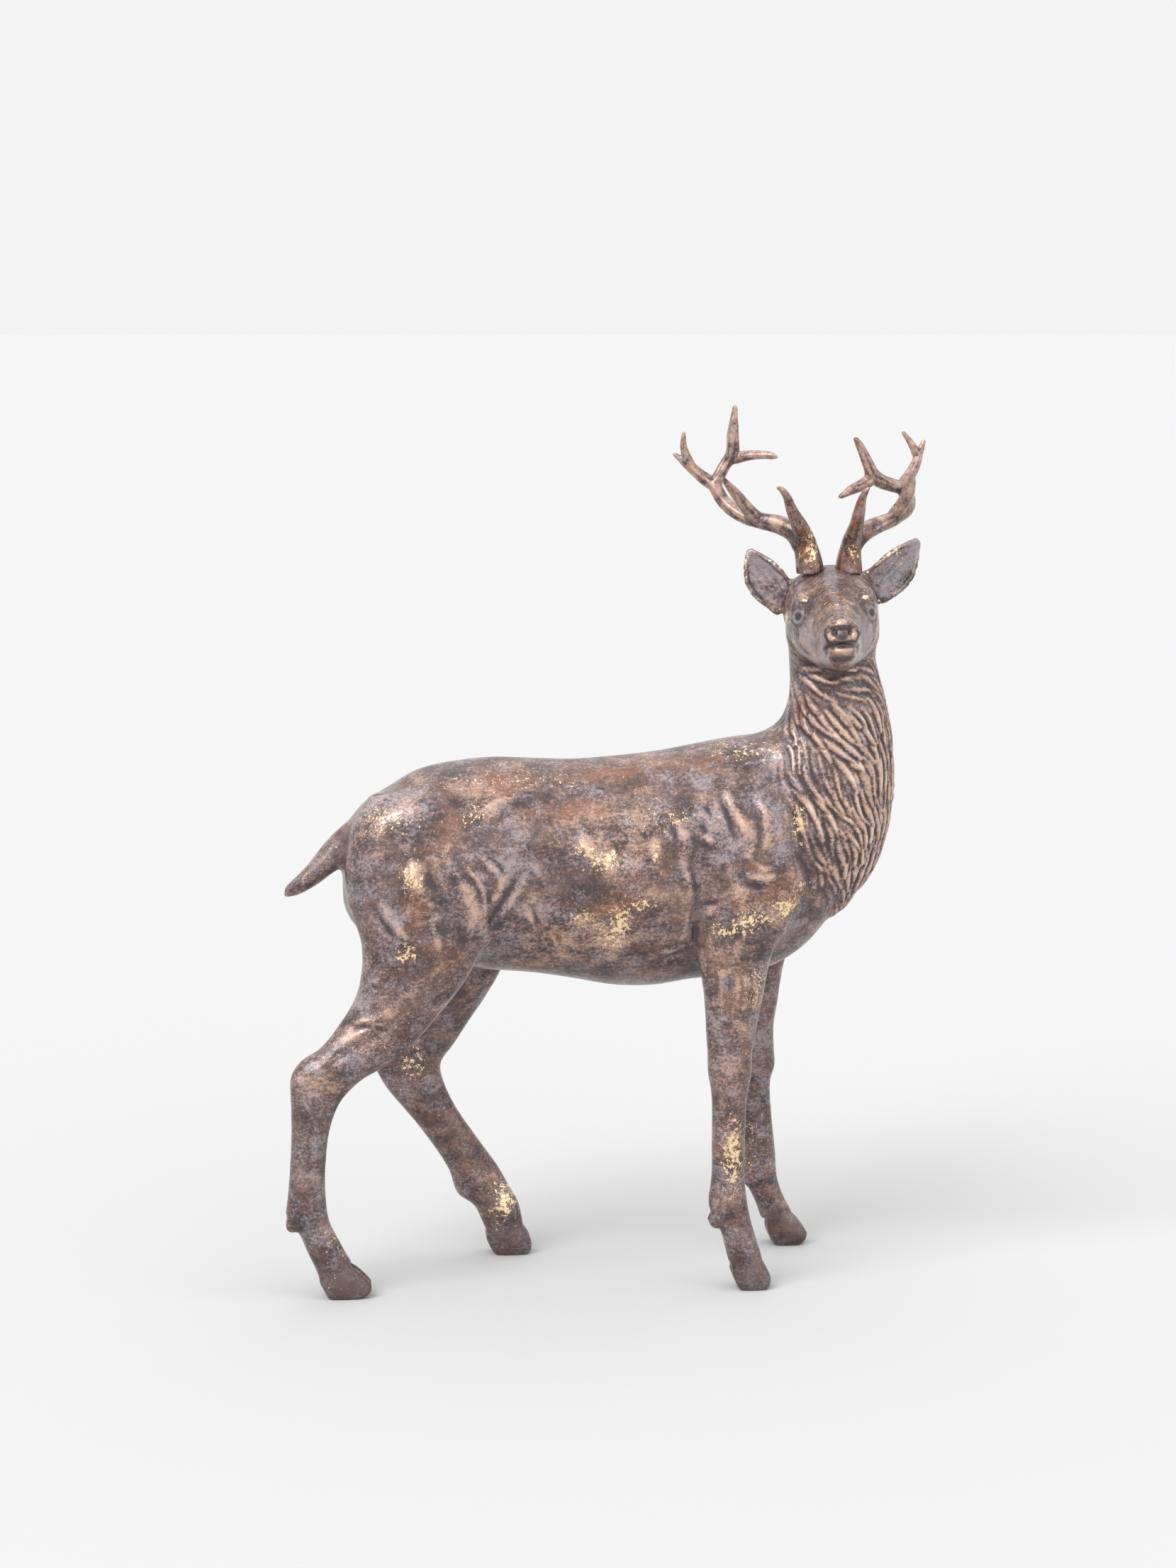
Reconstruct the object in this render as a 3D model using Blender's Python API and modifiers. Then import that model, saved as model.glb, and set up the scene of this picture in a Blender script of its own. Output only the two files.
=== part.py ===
"""A standing stag with its head turned to its right: one cast figure, and two antlers set in its head.

Metres, +Z up. The stag faces +X and looks towards -Y. The origin is on the floor, under the middle of
the whole figurine. Every place and size in the tables below is a share of FIGURE_HEIGHT, written in
millimetres of a figurine 458 mm tall.
"""
import math
import random

import bmesh
import bpy
import numpy as np
from mathutils import Matrix, Vector
from mathutils.bvhtree import BVHTree

FIGURE_HEIGHT = 0.458
TABLE_HEIGHT = 458.0
MM = FIGURE_HEIGHT / TABLE_HEIGHT

# The middle of the whole figurine, in the tables' own frame
MIDDLE = (0.84, -14.03)
# The height of the floor in that frame
FLOOR = 2.0

ANTLER_GAP = 0.0003
FIGURE_TRIANGLES = 8000
ANTLER_TRIANGLES = 780

BODY_VOXEL = 1.5 * MM
ANTLER_VOXEL = 0.75 * MM
RING_SIDES = 20
STEPS = 5

BRONZE = (0.105, 0.062, 0.047, 1.0)


# Meshes and lofts

def clear_scene():
    for thing in list(bpy.data.objects):
        bpy.data.objects.remove(thing)


def collection(name):
    made = bpy.data.collections.new(name)
    bpy.context.scene.collection.children.link(made)
    return made


def bronze(name):
    material = bpy.data.materials.new(name)
    material.use_nodes = True
    shader = material.node_tree.nodes["Principled BSDF"]
    shader.inputs["Base Color"].default_value = BRONZE
    shader.inputs["Roughness"].default_value = 0.42
    shader.inputs["Metallic"].default_value = 0.35
    return material


def new_object(name, mesh, into):
    made = bpy.data.objects.new(name, mesh)
    into.objects.link(made)
    return made


def smooth_rows(table, steps=STEPS):
    """Rows of a table with more rows between them, on a Catmull-Rom curve through each column."""
    rows = np.array(table, float)
    padded = np.vstack([2 * rows[0] - rows[1], rows, 2 * rows[-1] - rows[-2]])
    out = []
    for i in range(1, len(padded) - 2):
        a, b, c, d = padded[i - 1:i + 3]
        for t in np.linspace(0, 1, steps, endpoint=False):
            out.append(0.5 * (2 * b + (c - a) * t + (2 * a - 5 * b + 4 * c - d) * t ** 2
                              + (3 * b - a - 3 * c + d) * t ** 3))
    out.append(rows[-1])
    return np.array(out)


def skin(bm, rings, matrix=Matrix.Identity(4)):
    """Faces between closed rings of as many points each, with a fan over each end."""
    loops = [[bm.verts.new(matrix @ (Vector(p) * MM)) for p in ring] for ring in rings]
    count = len(loops[0])
    for low, high in zip(loops, loops[1:]):
        for i in range(count):
            j = (i + 1) % count
            bm.faces.new((low[i], low[j], high[j], high[i]))
    for loop in (loops[0][::-1], loops[-1]):
        centre = sum((v.co for v in loop), Vector()) / count
        tip = bm.verts.new(centre)
        for i in range(count):
            bm.faces.new((loop[i], loop[(i + 1) % count], tip))


def oval_rings(stations, steps=STEPS):
    """Rings of a limb from its outline as seen from the side.

    A station is (x, z) on the rear or lower outline, (x, z) on the front or upper one, the middle's y,
    the half width, and how far towards the front or top the section is widest, from -1 to 1.
    """
    rings = []
    for xb, zb, xf, zf, y, half, shift in smooth_rows(stations, steps):
        ring = []
        for i in range(RING_SIDES):
            angle = 2 * math.pi * i / RING_SIDES
            c, s = math.cos(angle), math.sin(angle)
            along = 0.5 + 0.5 * (c + shift * s * s)
            ring.append((xb + (xf - xb) * along, y + half * s, zb + (zf - zb) * along))
        rings.append(ring)
    return rings


BALL_RINGS = 12
BALL_TURNS = [2 * math.pi * i / 20 for i in range(20)]


def ball(bm, centre, radii, matrix=Matrix.Identity(4), turn=(0, 0, 0)):
    """An ellipsoid with its half sizes along its own axes, turned by degrees about X, Y and Z."""
    place = matrix @ Matrix.Translation(Vector(centre) * MM)
    for degrees, axis in zip(turn, "XYZ"):
        place = place @ Matrix.Rotation(math.radians(degrees), 4, axis)
    rings = []
    for i in range(1, BALL_RINGS):
        down = math.pi * i / BALL_RINGS
        rings.append([(radii[0] * math.sin(down) * math.cos(turn), radii[1] * math.sin(down) * math.sin(turn),
                       radii[2] * math.cos(down)) for turn in BALL_TURNS])
    skin(bm, rings, place)


# The body, from rump to chest: lower outline, upper outline, y, half width, widest place

TORSO = [
    (-137.5, 203, -137, 236, 0, 17, 0),
    (-132.5, 192, -129, 252.5, 0, 30, 0.1),
    (-119, 182, -113, 263.5, 0, 36, 0.1),
    (-96, 172, -95, 273.5, 0, 39, 0.05),
    (-66, 167, -64, 278.5, 0, 37.5, -0.05),
    (-41, 165, -41, 278, 0, 38, -0.1),
    (-18, 161.5, -18, 277, 0, 40.5, -0.1),
    (4, 157.5, 4, 278.5, 0, 42.5, -0.1),
    (25, 157, 25, 280.5, 0, 42.5, -0.05),
    (46, 160, 45, 284, 0, 40, 0),
    (68, 161, 64, 287.6, 0, 38, 0),
    (88, 166, 79, 288.6, 0, 36, 0),
    (106, 177.5, 97, 284, 0, 31, 0),
    (118, 193, 114, 272, 0, 22, 0),
    (122, 210, 122, 256, 0, 12, 0),
]

# The neck and its mane, from the chest up to the skull: nape, throat, y, half width, widest place
NECK = [
    (52, 250, 112, 194, 0, 24, 0),
    (60, 274, 126, 199, 0, 30, 0),
    (73, 286, 138.5, 211, 0, 33, 0),
    (85, 291.5, 146.5, 229, -1, 32.5, 0),
    (92, 297, 150.8, 249, -2, 30.5, 0),
    (94, 303, 151.5, 270, -4, 28, 0),
    (95.5, 309.5, 149.5, 289, -6, 25.5, 0),
    (95.5, 317, 146.8, 304, -8, 23.2, 0),
    (95, 325, 143.2, 317, -9, 21.4, 0),
    (95, 336, 140.5, 331, -9, 21, 0),
    (97, 350, 138, 348, -7, 20, 0),
]

# The head on its own axes: distance from the back of the skull, height, with the same meaning
HEAD = [
    (-5, -9, -5, 9, 0, 11, 0),
    (0, -15, -1, 16, 0, 17, 0.1),
    (9, -21, 8, 20.8, 0, 21.8, 0.1),
    (20, -26, 19, 21.8, 0, 24.3, 0.1),
    (32, -28, 31, 20, 0, 23.6, 0),
    (43, -28.5, 42, 16.4, 0, 21.2, -0.05),
    (53, -27.5, 52, 12.6, 0, 17.6, -0.1),
    (63, -26, 62, 9.2, 0, 13.4, -0.1),
    (73, -24.5, 72, 6.6, 0, 10, -0.05),
    (81, -22.5, 81, 5, 0, 8.8, 0.05),
    (86, -19.5, 87, 2.8, 0, 7.2, 0.1),
    (88.5, -13, 89.5, -1.2, 0, 4.2, 0),
]

TAIL = [
    (-112, 226, -108, 262, 0, 9, 0),
    (-127, 226, -121, 257, 0, 10, 0),
    (-141, 220, -135.5, 245.5, 0, 9, 0),
    (-150, 213.5, -146.5, 234.5, 0, 8, 0),
    (-158.5, 208.5, -156, 222.5, 0, 6.6, 0),
    (-164.5, 206.5, -162.5, 216, 0, 5, 0),
    (-168.5, 206, -167.5, 211.5, 0, 3, 0),
]

# The legs from the top down: rear outline, front outline, y, half width, widest place
HIND_RIGHT = [
    (-124, 262, -78, 262, -12, 15, 0),
    (-133, 245, -62, 250, -17, 20, 0),
    (-137, 225, -56, 228, -21.5, 21.5, 0),
    (-135.5, 205, -59, 203, -25, 20.5, 0),
    (-129, 185, -72, 171, -28, 17.5, 0),
    (-131.5, 161, -90, 148, -31, 14, 0),
    (-143, 142, -104, 133, -34, 11.5, 0),
    (-152, 132, -118, 123, -36, 10, 0),
    (-160.4, 127, -129, 117, -37, 9, 0),
    (-165.5, 119, -138, 109, -37.5, 8.2, 0),
    (-166, 109, -143, 101, -38, 7.6, 0),
    (-166, 89, -147, 88, -38, 7, 0),
    (-167, 69, -149, 68, -38, 7, 0),
    (-168.3, 54.5, -148.8, 54.5, -38, 7.8, 0),
    (-169, 45.2, -148, 46.2, -38, 8, 0),
    (-162.5, 36, -146, 39, -38, 7.6, 0),
    (-158.8, 27, -141.8, 31, -38, 7.4, 0),
    (-154.6, 18, -138.2, 24, -38, 7.6, 0),
    (-153, 13, -135.4, 20, -38, 7.4, 0),
]
HIND_LEFT = [
    (-122, 258, -80, 262, 12, 14, 0),
    (-130, 240, -60, 246, 16, 18, 0),
    (-130, 218, -50, 218, 20, 19, 0),
    (-124, 195, -44, 188, 24, 17, 0),
    (-114, 172, -52, 163, 28, 14.5, 0),
    (-113, 150, -61, 146, 31.5, 12.5, 0),
    (-116, 128, -70, 132, 35, 11, 0),
    (-119, 116, -79, 118, 37, 9.8, 0),
    (-120, 106, -86, 108, 38, 9, 0),
    (-114, 94, -84, 97, 39, 8.4, 0),
    (-106, 84, -78, 84, 39, 7.6, 0),
    (-98, 74, -71, 73, 39.5, 7.2, 0),
    (-88, 60, -64, 63, 39.5, 7.4, 0),
    (-81, 48, -55, 50, 39.5, 8, 0),
    (-77, 36, -49, 39, 39.5, 8.2, 0),
    (-68, 29, -44, 30, 39.5, 7.8, 0),
    (-64, 21, -42, 21, 39.5, 7.8, 0),
    (-61.5, 15, -40.5, 15, 39.5, 7.6, 0),
]
FORE_RIGHT = [
    (50, 262, 88, 262, -12, 14, 0),
    (42, 240, 102, 240, -19, 19.5, 0),
    (40, 216, 104, 213, -23.5, 19, 0),
    (41, 196, 93, 190, -27, 16.5, 0),
    (44.5, 182, 86, 182, -30, 14, 0),
    (46, 170, 82, 170, -32.5, 12.5, 0),
    (48, 156, 79, 156, -34.5, 11, 0),
    (49, 137, 74.5, 136, -37, 9.2, 0),
    (50, 126, 72.5, 125, -38, 9.2, 0),
    (50.5, 116, 72, 115, -38.5, 9, 0),
    (52, 103, 70, 102, -39, 7.6, 0),
    (52, 76, 69, 75, -39.5, 7, 0),
    (52, 62, 69, 61, -39.5, 7.4, 0),
    (50.5, 47, 70.5, 48, -39.5, 8.2, 0),
    (55, 38, 72, 40, -39.5, 7.8, 0),
    (58, 29, 74.5, 31, -39.5, 7.6, 0),
    (60, 21, 77, 23, -39.5, 7.8, 0),
    (61.5, 15, 79, 17, -39.5, 7.6, 0),
]
FORE_LEFT = [
    (50, 262, 90, 262, 12, 14, 0),
    (44, 240, 106, 240, 18, 18, 0),
    (50, 214, 112, 214, 24, 17.5, 0),
    (60, 192, 107, 190, 29, 15, 0),
    (70, 172, 102.5, 170, 34, 12.5, 0),
    (74, 157, 99.5, 156, 38, 11, 0),
    (74, 139, 97.5, 138, 42, 9.6, 0),
    (73, 125, 95.5, 124, 44, 9, 0),
    (73.5, 111, 95.5, 111, 45, 9, 0),
    (74, 103, 96.5, 102, 45.5, 8.6, 0),
    (76, 93, 94, 92, 45.5, 7.6, 0),
    (78, 75, 95, 74, 45.5, 7, 0),
    (79.5, 55, 97, 55, 45.5, 7.2, 0),
    (79.6, 41, 98, 41, 45.5, 8, 0),
    (84.2, 31, 100, 33, 45.5, 7.6, 0),
    (87.3, 24, 103, 26, 45.5, 7.8, 0),
    (90, 16, 107, 19, 45.5, 7.6, 0),
]
FORMS = [TORSO, NECK, TAIL, HIND_RIGHT, HIND_LEFT, FORE_RIGHT, FORE_LEFT]

# Each hoof from its heel to its toe as (x, z of the sole), (x, z of the crown), with its middle's y
HOOVES = {
    "hind_right": [(-149.5, 6, -152.8, 11.5), (-147.3, 1.6, -151.3, 16.8), (-141.8, 0.6, -143.3, 20),
                   (-134.8, 0.8, -135, 18.3), (-128.8, 2.6, -128.9, 13.2), (-125.6, 5.2, -125.2, 9)],
    "hind_left": [(-58.5, 5, -62, 12), (-56, 1.6, -60, 18), (-50.5, 0.6, -50.5, 21),
                  (-44, 0.6, -44, 19), (-39.5, 1.4, -39.5, 14.5), (-37, 4, -36.8, 9)],
    "fore_right": [(65, 5, 62, 12), (67, 1.6, 63.5, 18), (72, 0.6, 71, 21),
                   (77, 0.6, 76.5, 19), (80.7, 1.4, 80.4, 14), (82.6, 4.5, 82.9, 8.8)],
    "fore_left": [(94.5, 5.5, 92, 12), (97.5, 1.6, 94, 18), (103, 0.6, 102, 21),
                  (108, 0.8, 107, 18.5), (112, 2.6, 111.7, 13), (114.3, 5.5, 114.8, 8.8)],
}
HOOF_MIDDLES = {"hind_right": -38, "hind_left": 39.5, "fore_right": -39.5, "fore_left": 45.5}
TOE_SPREAD = 4.2
TOE_HALF_WIDTHS = (3.2, 4.3, 4.7, 4.5, 3.7, 2.3)

# Dewclaws hang in pairs behind each pastern: x and z of their middle
DEWCLAWS = {"hind_right": (-166.2, 41), "hind_left": (-73, 38), "fore_right": (53.8, 38.6),
            "fore_left": (83.4, 38)}
DEWCLAW_RADII = (3.8, 2.6, 4.2)
DEWCLAW_SPREAD = 3.0

# Muscles that swell the skin: middle, half sizes and turn in degrees
MUSCLES = [
    ((74, -27, 232), (22, 13, 33), (0, 18, 0)),
    ((74, 27, 232), (22, 13, 33), (0, 18, 0)),
    ((-100, -27, 236), (28, 13, 26), (0, -20, 0)),
    ((-100, 27, 236), (28, 13, 26), (0, -20, 0)),
    ((10, -24, 214), (46, 20, 38), (0, 0, 0)),
    ((10, 24, 214), (46, 20, 38), (0, 0, 0)),
    ((124, -2, 202), (6, 7, 13), (0, 30, 0)),
    ((102, 0, 183), (8, 10, 6), (0, -50, 0)),
]

# The head's own frame, at the back of the skull: x forward, y to the stag's left, z up
HEAD_PLACE = (117.4, 6.5, 357.3)
HEAD_YAW, HEAD_PITCH, HEAD_ROLL = -94.2, 2.6, 3.0


def head_matrix():
    place = Matrix.Translation(Vector(HEAD_PLACE) * MM)
    turned = Matrix.Rotation(math.radians(HEAD_YAW), 4, "Z")
    nodded = Matrix.Rotation(math.radians(HEAD_PITCH), 4, "Y")
    tilted = Matrix.Rotation(math.radians(HEAD_ROLL), 4, "X")
    return place @ turned @ nodded @ tilted


FACE_BALLS = [
    ((35, 15.5, 8), (12, 5, 5)),
    ((24, 14.5, -12), (15, 9.5, 14)),
    ((82, 4.8, -2.8), (5.5, 4.0, 4.6)),
    ((76, 6.2, -11.5), (9, 3.4, 4)),
    ((43, 15.6, 0.2), (5.8, 4.6, 4.8)),
]

# Each ear: root, middle, tip, a point that its hollow faces, half width and the depth of its cup
EARS = {
    "right": ((97, -8, 358.0), (82.6, -6, 371.2), (74.2, -2, 386.5), (70, -90, 350), 10.4, 6.0),
    "left": ((134, -8, 364), (150.2, -6, 375.6), (163.8, -2, 391), (165, -90, 352), 11.4, 6.0),
}
EAR_OUTLINE = [(0.0, 1.02, 0.5), (0.2, 1.0, 0.8), (0.42, 1.0, 1.0), (0.62, 0.88, 0.9),
               (0.78, 0.66, 0.65), (0.9, 0.4, 0.35), (1.0, 0.16, 0.1)]
EAR_THICKNESS = 3.4
EAR_SIDES = 9


def ear_rings(root, middle, tip, faces, half_width, cup):
    """Crescent sections from the ear's root to its tip, hollow on the side that faces the given point."""
    root, middle, tip = Vector(root), Vector(middle), Vector(tip)
    rings = []
    for t, width, depth in smooth_rows(EAR_OUTLINE, 3):
        centre = root * (1 - t) ** 2 + (middle * 2 - (root + tip) / 2) * (2 * t * (1 - t)) + tip * t ** 2
        along = (tip - root).lerp(tip - middle, t).normalized()
        out = Vector(faces) - centre
        out = (out - along * out.dot(along)).normalized()
        across = along.cross(out)
        thick = EAR_THICKNESS * (1 - 0.35 * t)
        back, front = [], []
        for i in range(EAR_SIDES):
            angle = math.pi * i / (EAR_SIDES - 1)
            u = -math.cos(angle)
            edge = centre + across * half_width * width * u + out * cup * depth * (u * u - 0.5)
            back.append(edge - out * thick * (0.3 + 0.3 * math.sin(angle)))
            front.append(edge + out * thick * (0.3 + 0.2 * math.sin(angle)))
        rings.append(back + front[::-1])
    return rings


def figure_clay():
    """Every form of the figure as closed shells that overlap, in one mesh."""
    bm = bmesh.new()
    for form in FORMS:
        skin(bm, oval_rings(form))
    head = head_matrix()
    skin(bm, oval_rings(HEAD), head)
    for centre, radii in FACE_BALLS:
        for side in (-1, 1):
            ball(bm, (centre[0], side * centre[1], centre[2]), radii, head)
    for ear in EARS.values():
        skin(bm, ear_rings(*ear))
    for leg, outline in HOOVES.items():
        for side in (-1, 1):
            y = HOOF_MIDDLES[leg] + side * TOE_SPREAD
            skin(bm, oval_rings([(*p, y, w, -0.3) for p, w in zip(outline, TOE_HALF_WIDTHS)], 3))
            x, z = DEWCLAWS[leg]
            ball(bm, (x, HOOF_MIDDLES[leg] + side * DEWCLAW_SPREAD, z), DEWCLAW_RADII)
    for centre, radii, turn in MUSCLES:
        ball(bm, centre, radii, turn=turn)
    bmesh.ops.recalc_face_normals(bm, faces=bm.faces)
    mesh = bpy.data.meshes.new("clay")
    bm.to_mesh(mesh)
    bm.free()
    return mesh


def remeshed(mesh, voxel, scratch):
    """One skin over every shell of a mesh."""
    thing = new_object("clay", mesh, scratch)
    modifier = thing.modifiers.new("Skin", "REMESH")
    modifier.mode = "VOXEL"
    modifier.voxel_size = voxel
    evaluated = thing.evaluated_get(bpy.context.evaluated_depsgraph_get())
    made = bpy.data.meshes.new_from_object(evaluated)
    bpy.data.objects.remove(thing)
    return made


# Working the skin, as arrays of points

def points_of(mesh):
    out = np.empty(len(mesh.vertices) * 3)
    mesh.vertices.foreach_get("co", out)
    return out.reshape(-1, 3)


def normals_of(mesh):
    out = np.empty(len(mesh.vertices) * 3)
    mesh.vertices.foreach_get("normal", out)
    return out.reshape(-1, 3)


def set_points(mesh, points):
    mesh.vertices.foreach_set("co", points.ravel())
    mesh.update()


def eased(mesh, weights, rounds):
    """Moves each point towards the mean of its neighbours, by its weight, many times."""
    ends = np.empty(len(mesh.edges) * 2, np.int64)
    mesh.edges.foreach_get("vertices", ends)
    ends = ends.reshape(-1, 2)
    points = points_of(mesh)
    count = len(points)
    degree = np.bincount(ends.ravel(), minlength=count)[:, None]
    for _ in range(rounds):
        total = np.empty_like(points)
        for axis in range(3):
            total[:, axis] = (np.bincount(ends[:, 0], points[ends[:, 1], axis], count)
                              + np.bincount(ends[:, 1], points[ends[:, 0], axis], count))
        points += weights[:, None] * (total / degree - points)
    set_points(mesh, points)


# How far below the middle of the skull the chin, the ears, and the throat's top and foot are, and how far
# from it to each side the ears begin
UNDER_CHIN = 32
UNDER_EARS = 12
THROAT_TOP = 23
THROAT_FOOT = 39
EARS_FROM = 23


def ease_weights(points):
    """How much each place is eased: most where limbs join the body, least on hooves, ears and face."""
    x, y, z = (points / MM).T
    body = np.clip((z - 120) / 60, 0, 1)
    local = (np.linalg.inv(np.array(head_matrix())) @ np.c_[points, np.ones(len(points))].T)[:3].T / MM
    face = np.clip((local[:, 0] - 25) / 20, 0, 1) * (z > HEAD_PLACE[2] - UNDER_CHIN)
    ear = np.clip((np.abs(x - HEAD_PLACE[0]) - EARS_FROM) / 4, 0, 1) * (z > HEAD_PLACE[2] - UNDER_EARS)
    tail = np.clip((-x - 134) / 8, 0, 1) * (z > 200)
    return 0.10 + 0.45 * body * (1 - face) * (1 - ear) * (1 - tail)


# A distance that is outside the figure on every side
FAR_OUT = 200


class Skin:
    """A mesh being carved: its points, their normals, and how far each is to move along its normal."""

    def __init__(self, mesh):
        self.mesh = mesh
        self.points = points_of(mesh)
        self.normals = normals_of(mesh)
        self.relief = np.zeros(len(self.points))
        bm = bmesh.new()
        bm.from_mesh(mesh)
        self.tree = BVHTree.FromBMesh(bm)
        bm.free()

    def near(self, path, reach):
        low, high = path.min(axis=0) - reach, path.max(axis=0) + reach
        return np.nonzero(((self.points > low) & (self.points < high)).all(axis=1))[0]

    def dab(self, centre, radii, height, matrix=Matrix.Identity(4)):
        """A soft swelling, or a hollow where the height is below zero, with its own half sizes."""
        local = (np.linalg.inv(np.array(matrix)) @ np.c_[self.points, np.ones(len(self.points))].T)[:3].T
        share = (local / MM - np.array(centre)) / np.array(radii)
        self.relief += height * MM * np.exp(-(share ** 2).sum(axis=1))

    def onto(self, x, z, side=-1):
        """The place on the skin that lies over (x, z) as seen from one side, right being -1."""
        start = Vector((x, side * FAR_OUT, z)) * MM
        hit = self.tree.ray_cast(start, Vector((0, -side, 0)))[0]
        return np.array(hit if hit else self.tree.find_nearest(start)[0])

    def stroke(self, path, half_width, height):
        """A soft ridge or groove along a path of points, thinning to its ends."""
        path = np.array(path)
        which = self.near(path, half_width * 2 * MM)
        distance, t = along_path(self.points[which], path)
        width = half_width * MM * (0.35 + 0.65 * np.sin(np.pi * np.clip(t, 0.04, 0.96)))
        self.relief[which] += height * MM * np.exp(-(distance / width) ** 2) * np.sin(np.pi * t) ** 0.6

    def lock(self, path, half_width, height, groove):
        """A tapering lock of hair laid over whatever was carved before it."""
        path = np.array(path)
        which = self.near(path, half_width * 1.8 * MM)
        distance, t = along_path(self.points[which], path)
        width = half_width * MM * np.clip(0.55 + 1.3 * t, 0, 1) * np.sqrt(np.clip(1.03 - t ** 3, 0.02, 1))
        u = distance / width
        crown = height * MM * (0.3 + 0.7 * np.clip(t / 0.7, 0, 1)) * np.clip(1 - u ** 2, 0, 1) ** 0.7
        ring = np.where(u >= 1, np.exp(-((u - 1.15) / 0.28) ** 2), 1) * np.clip(t * 6, 0, 1)
        relief = self.relief[which]
        outside = relief * (1 - ring) - groove * MM * ring
        self.relief[which] = np.where(u < 1, np.maximum(crown, relief * (1 - t) - groove * MM), outside)

    def follow(self, start, flow, length, step=1.4):
        """A path over the skin from one place, in the direction that flow gives there."""
        place = Vector(start)
        path = [np.array(place)]
        for _ in range(max(2, int(length / step))):
            spot, normal, _, _ = self.tree.find_nearest(place)
            way = Vector(flow(spot))
            way = (way - normal * way.dot(normal)).normalized()
            place = self.tree.find_nearest(spot + way * step * MM)[0]
            path.append(np.array(place))
        return path

    def finish(self, mask=1.0):
        """Moves the points by the relief."""
        set_points(self.mesh, self.points + self.normals * (self.relief * mask)[:, None])
        self.points = points_of(self.mesh)
        self.normals = normals_of(self.mesh)
        self.relief[:] = 0


def along_path(points, path):
    """How far each point is from a path, and what share of the path lies before the nearest place."""
    best = np.full(len(points), np.inf)
    share = np.zeros(len(points))
    lengths = np.linalg.norm(np.diff(path, axis=0), axis=1)
    done = np.r_[0, np.cumsum(lengths)]
    for i, (start, end) in enumerate(zip(path, path[1:])):
        way = end - start
        t = np.clip((points - start) @ way / (way @ way), 0, 1)
        distance = np.linalg.norm(points - start - t[:, None] * way, axis=1)
        closer = distance < best
        best[closer] = distance[closer]
        share[closer] = ((done[i] + t * lengths[i]) / done[-1])[closer]
    return best, share


# The mane: the heights that it covers, and at each the x where it begins at the back of the neck
MANE_BACK = [(190, 118), (200, 112), (215, 104), (232, 96), (250, 90), (268, 86), (284, 84), (296, 90),
             (310, 93), (326, 94)]
# How steeply its locks fall at each height, in degrees below level
MANE_FALL = [(190, 88), (205, 78), (220, 66), (245, 60), (275, 57), (292, 48), (306, 26), (325, 6)]
LOCK_LENGTH = (17, 27)
LOCK_HALF_WIDTH = 3.1
LOCK_SPACING = 6.2
LOCK_HEIGHT = 1.5
LOCK_GROOVE = 0.7
MANE_SINK = 0.9


def mane_share(points):
    """One inside the mane, falling to nothing over a few millimetres at its edge."""
    x, y, z = (points / MM).T
    heights, backs = np.array(MANE_BACK, float).T
    edge = np.interp(z, heights, backs)
    head = (np.linalg.inv(np.array(head_matrix())) @ np.c_[points, np.ones(len(points))].T)[:3].T / MM
    under_jaw = np.clip((-23.5 - head[:, 2]) / 4, 0, 1)
    return (np.clip((x - edge) / 9, 0, 1) * np.clip((z - 188) / 5, 0, 1)
            * np.where(z > HEAD_PLACE[2] - THROAT_FOOT, under_jaw, 1)
            * np.clip((HEAD_PLACE[2] - THROAT_TOP - z) / 6, 0, 1))


def mane_flow(turn):
    heights, falls = np.array(MANE_FALL, float).T

    def flow(spot):
        x, y, z = spot / MM
        fall = np.interp(z, heights, falls) + turn
        fall += np.interp(x, [92, 106, 132, 146], [14, 0, 0, 26]) * np.interp(z, [215, 240], [0, 1])
        fall = math.radians(fall)
        return (math.cos(fall), 0, -math.sin(fall))

    return flow


def scattered(points, spacing, chance):
    """Some of the points, in a random order, none nearer to another than the spacing."""
    order = list(range(len(points)))
    chance.shuffle(order)
    kept = []
    for i in order:
        if not kept or np.linalg.norm(points[kept] - points[i], axis=1).min() > spacing * MM:
            kept.append(i)
    return points[kept]


def carve_mane(skin_of):
    """Locks laid from the bottom upwards, so that each covers the root of the one below it."""
    chance = random.Random(7)
    inside = np.nonzero(mane_share(skin_of.points) > 0.35)[0]
    chosen = skin_of.points[chance.sample(list(inside), min(len(inside), 5000))]
    seeds = scattered(chosen, LOCK_SPACING, chance)
    for seed in seeds[np.argsort(seeds[:, 2])]:
        path = skin_of.follow(seed, mane_flow(chance.uniform(-12, 12)), chance.uniform(*LOCK_LENGTH))
        skin_of.lock(path, LOCK_HALF_WIDTH * chance.uniform(0.8, 1.2), LOCK_HEIGHT, LOCK_GROOVE)
    skin_of.relief -= MANE_SINK * MM
    skin_of.finish(mane_share(skin_of.points))


# Folds and muscle edges on each side of the body: half width, height, then (x, z) along it
FOLDS = [
    (5.0, -1.3, [(52, 262), (45, 240), (46, 216), (44, 192), (50, 170)]),
    (4.0, 0.7, [(40, 254), (36, 232), (37, 208), (38, 186)]),
    (5.0, 2.2, [(-86, 232), (-76, 214), (-68, 196), (-63, 176)]),
    (5.0, -1.8, [(-96, 226), (-86, 206), (-76, 188), (-70, 172)]),
    (6.0, -1.6, [(-116, 250), (-112, 226), (-112, 204), (-118, 184)]),
    (5.0, -1.2, [(66, 228), (78, 208), (80, 188), (74, 172)]),
    (4.0, 1.2, [(58, 232), (66, 208), (66, 186), (60, 168)]),
    (4.0, -1.2, [(62, 176), (60, 156), (60, 136), (61, 122)]),
    (3.5, 1.0, [(-86, 178), (-104, 164), (-122, 146), (-140, 136)]),
    (3.0, -1.0, [(-108, 154), (-124, 140), (-140, 131), (-152, 120)]),
    (3.0, 0.8, [(-116, 142), (-108, 136), (-100, 134)]),
    (3.0, -1.0, [(92, 262), (96, 244), (100, 226), (104, 208), (104, 190)]),
]
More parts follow.
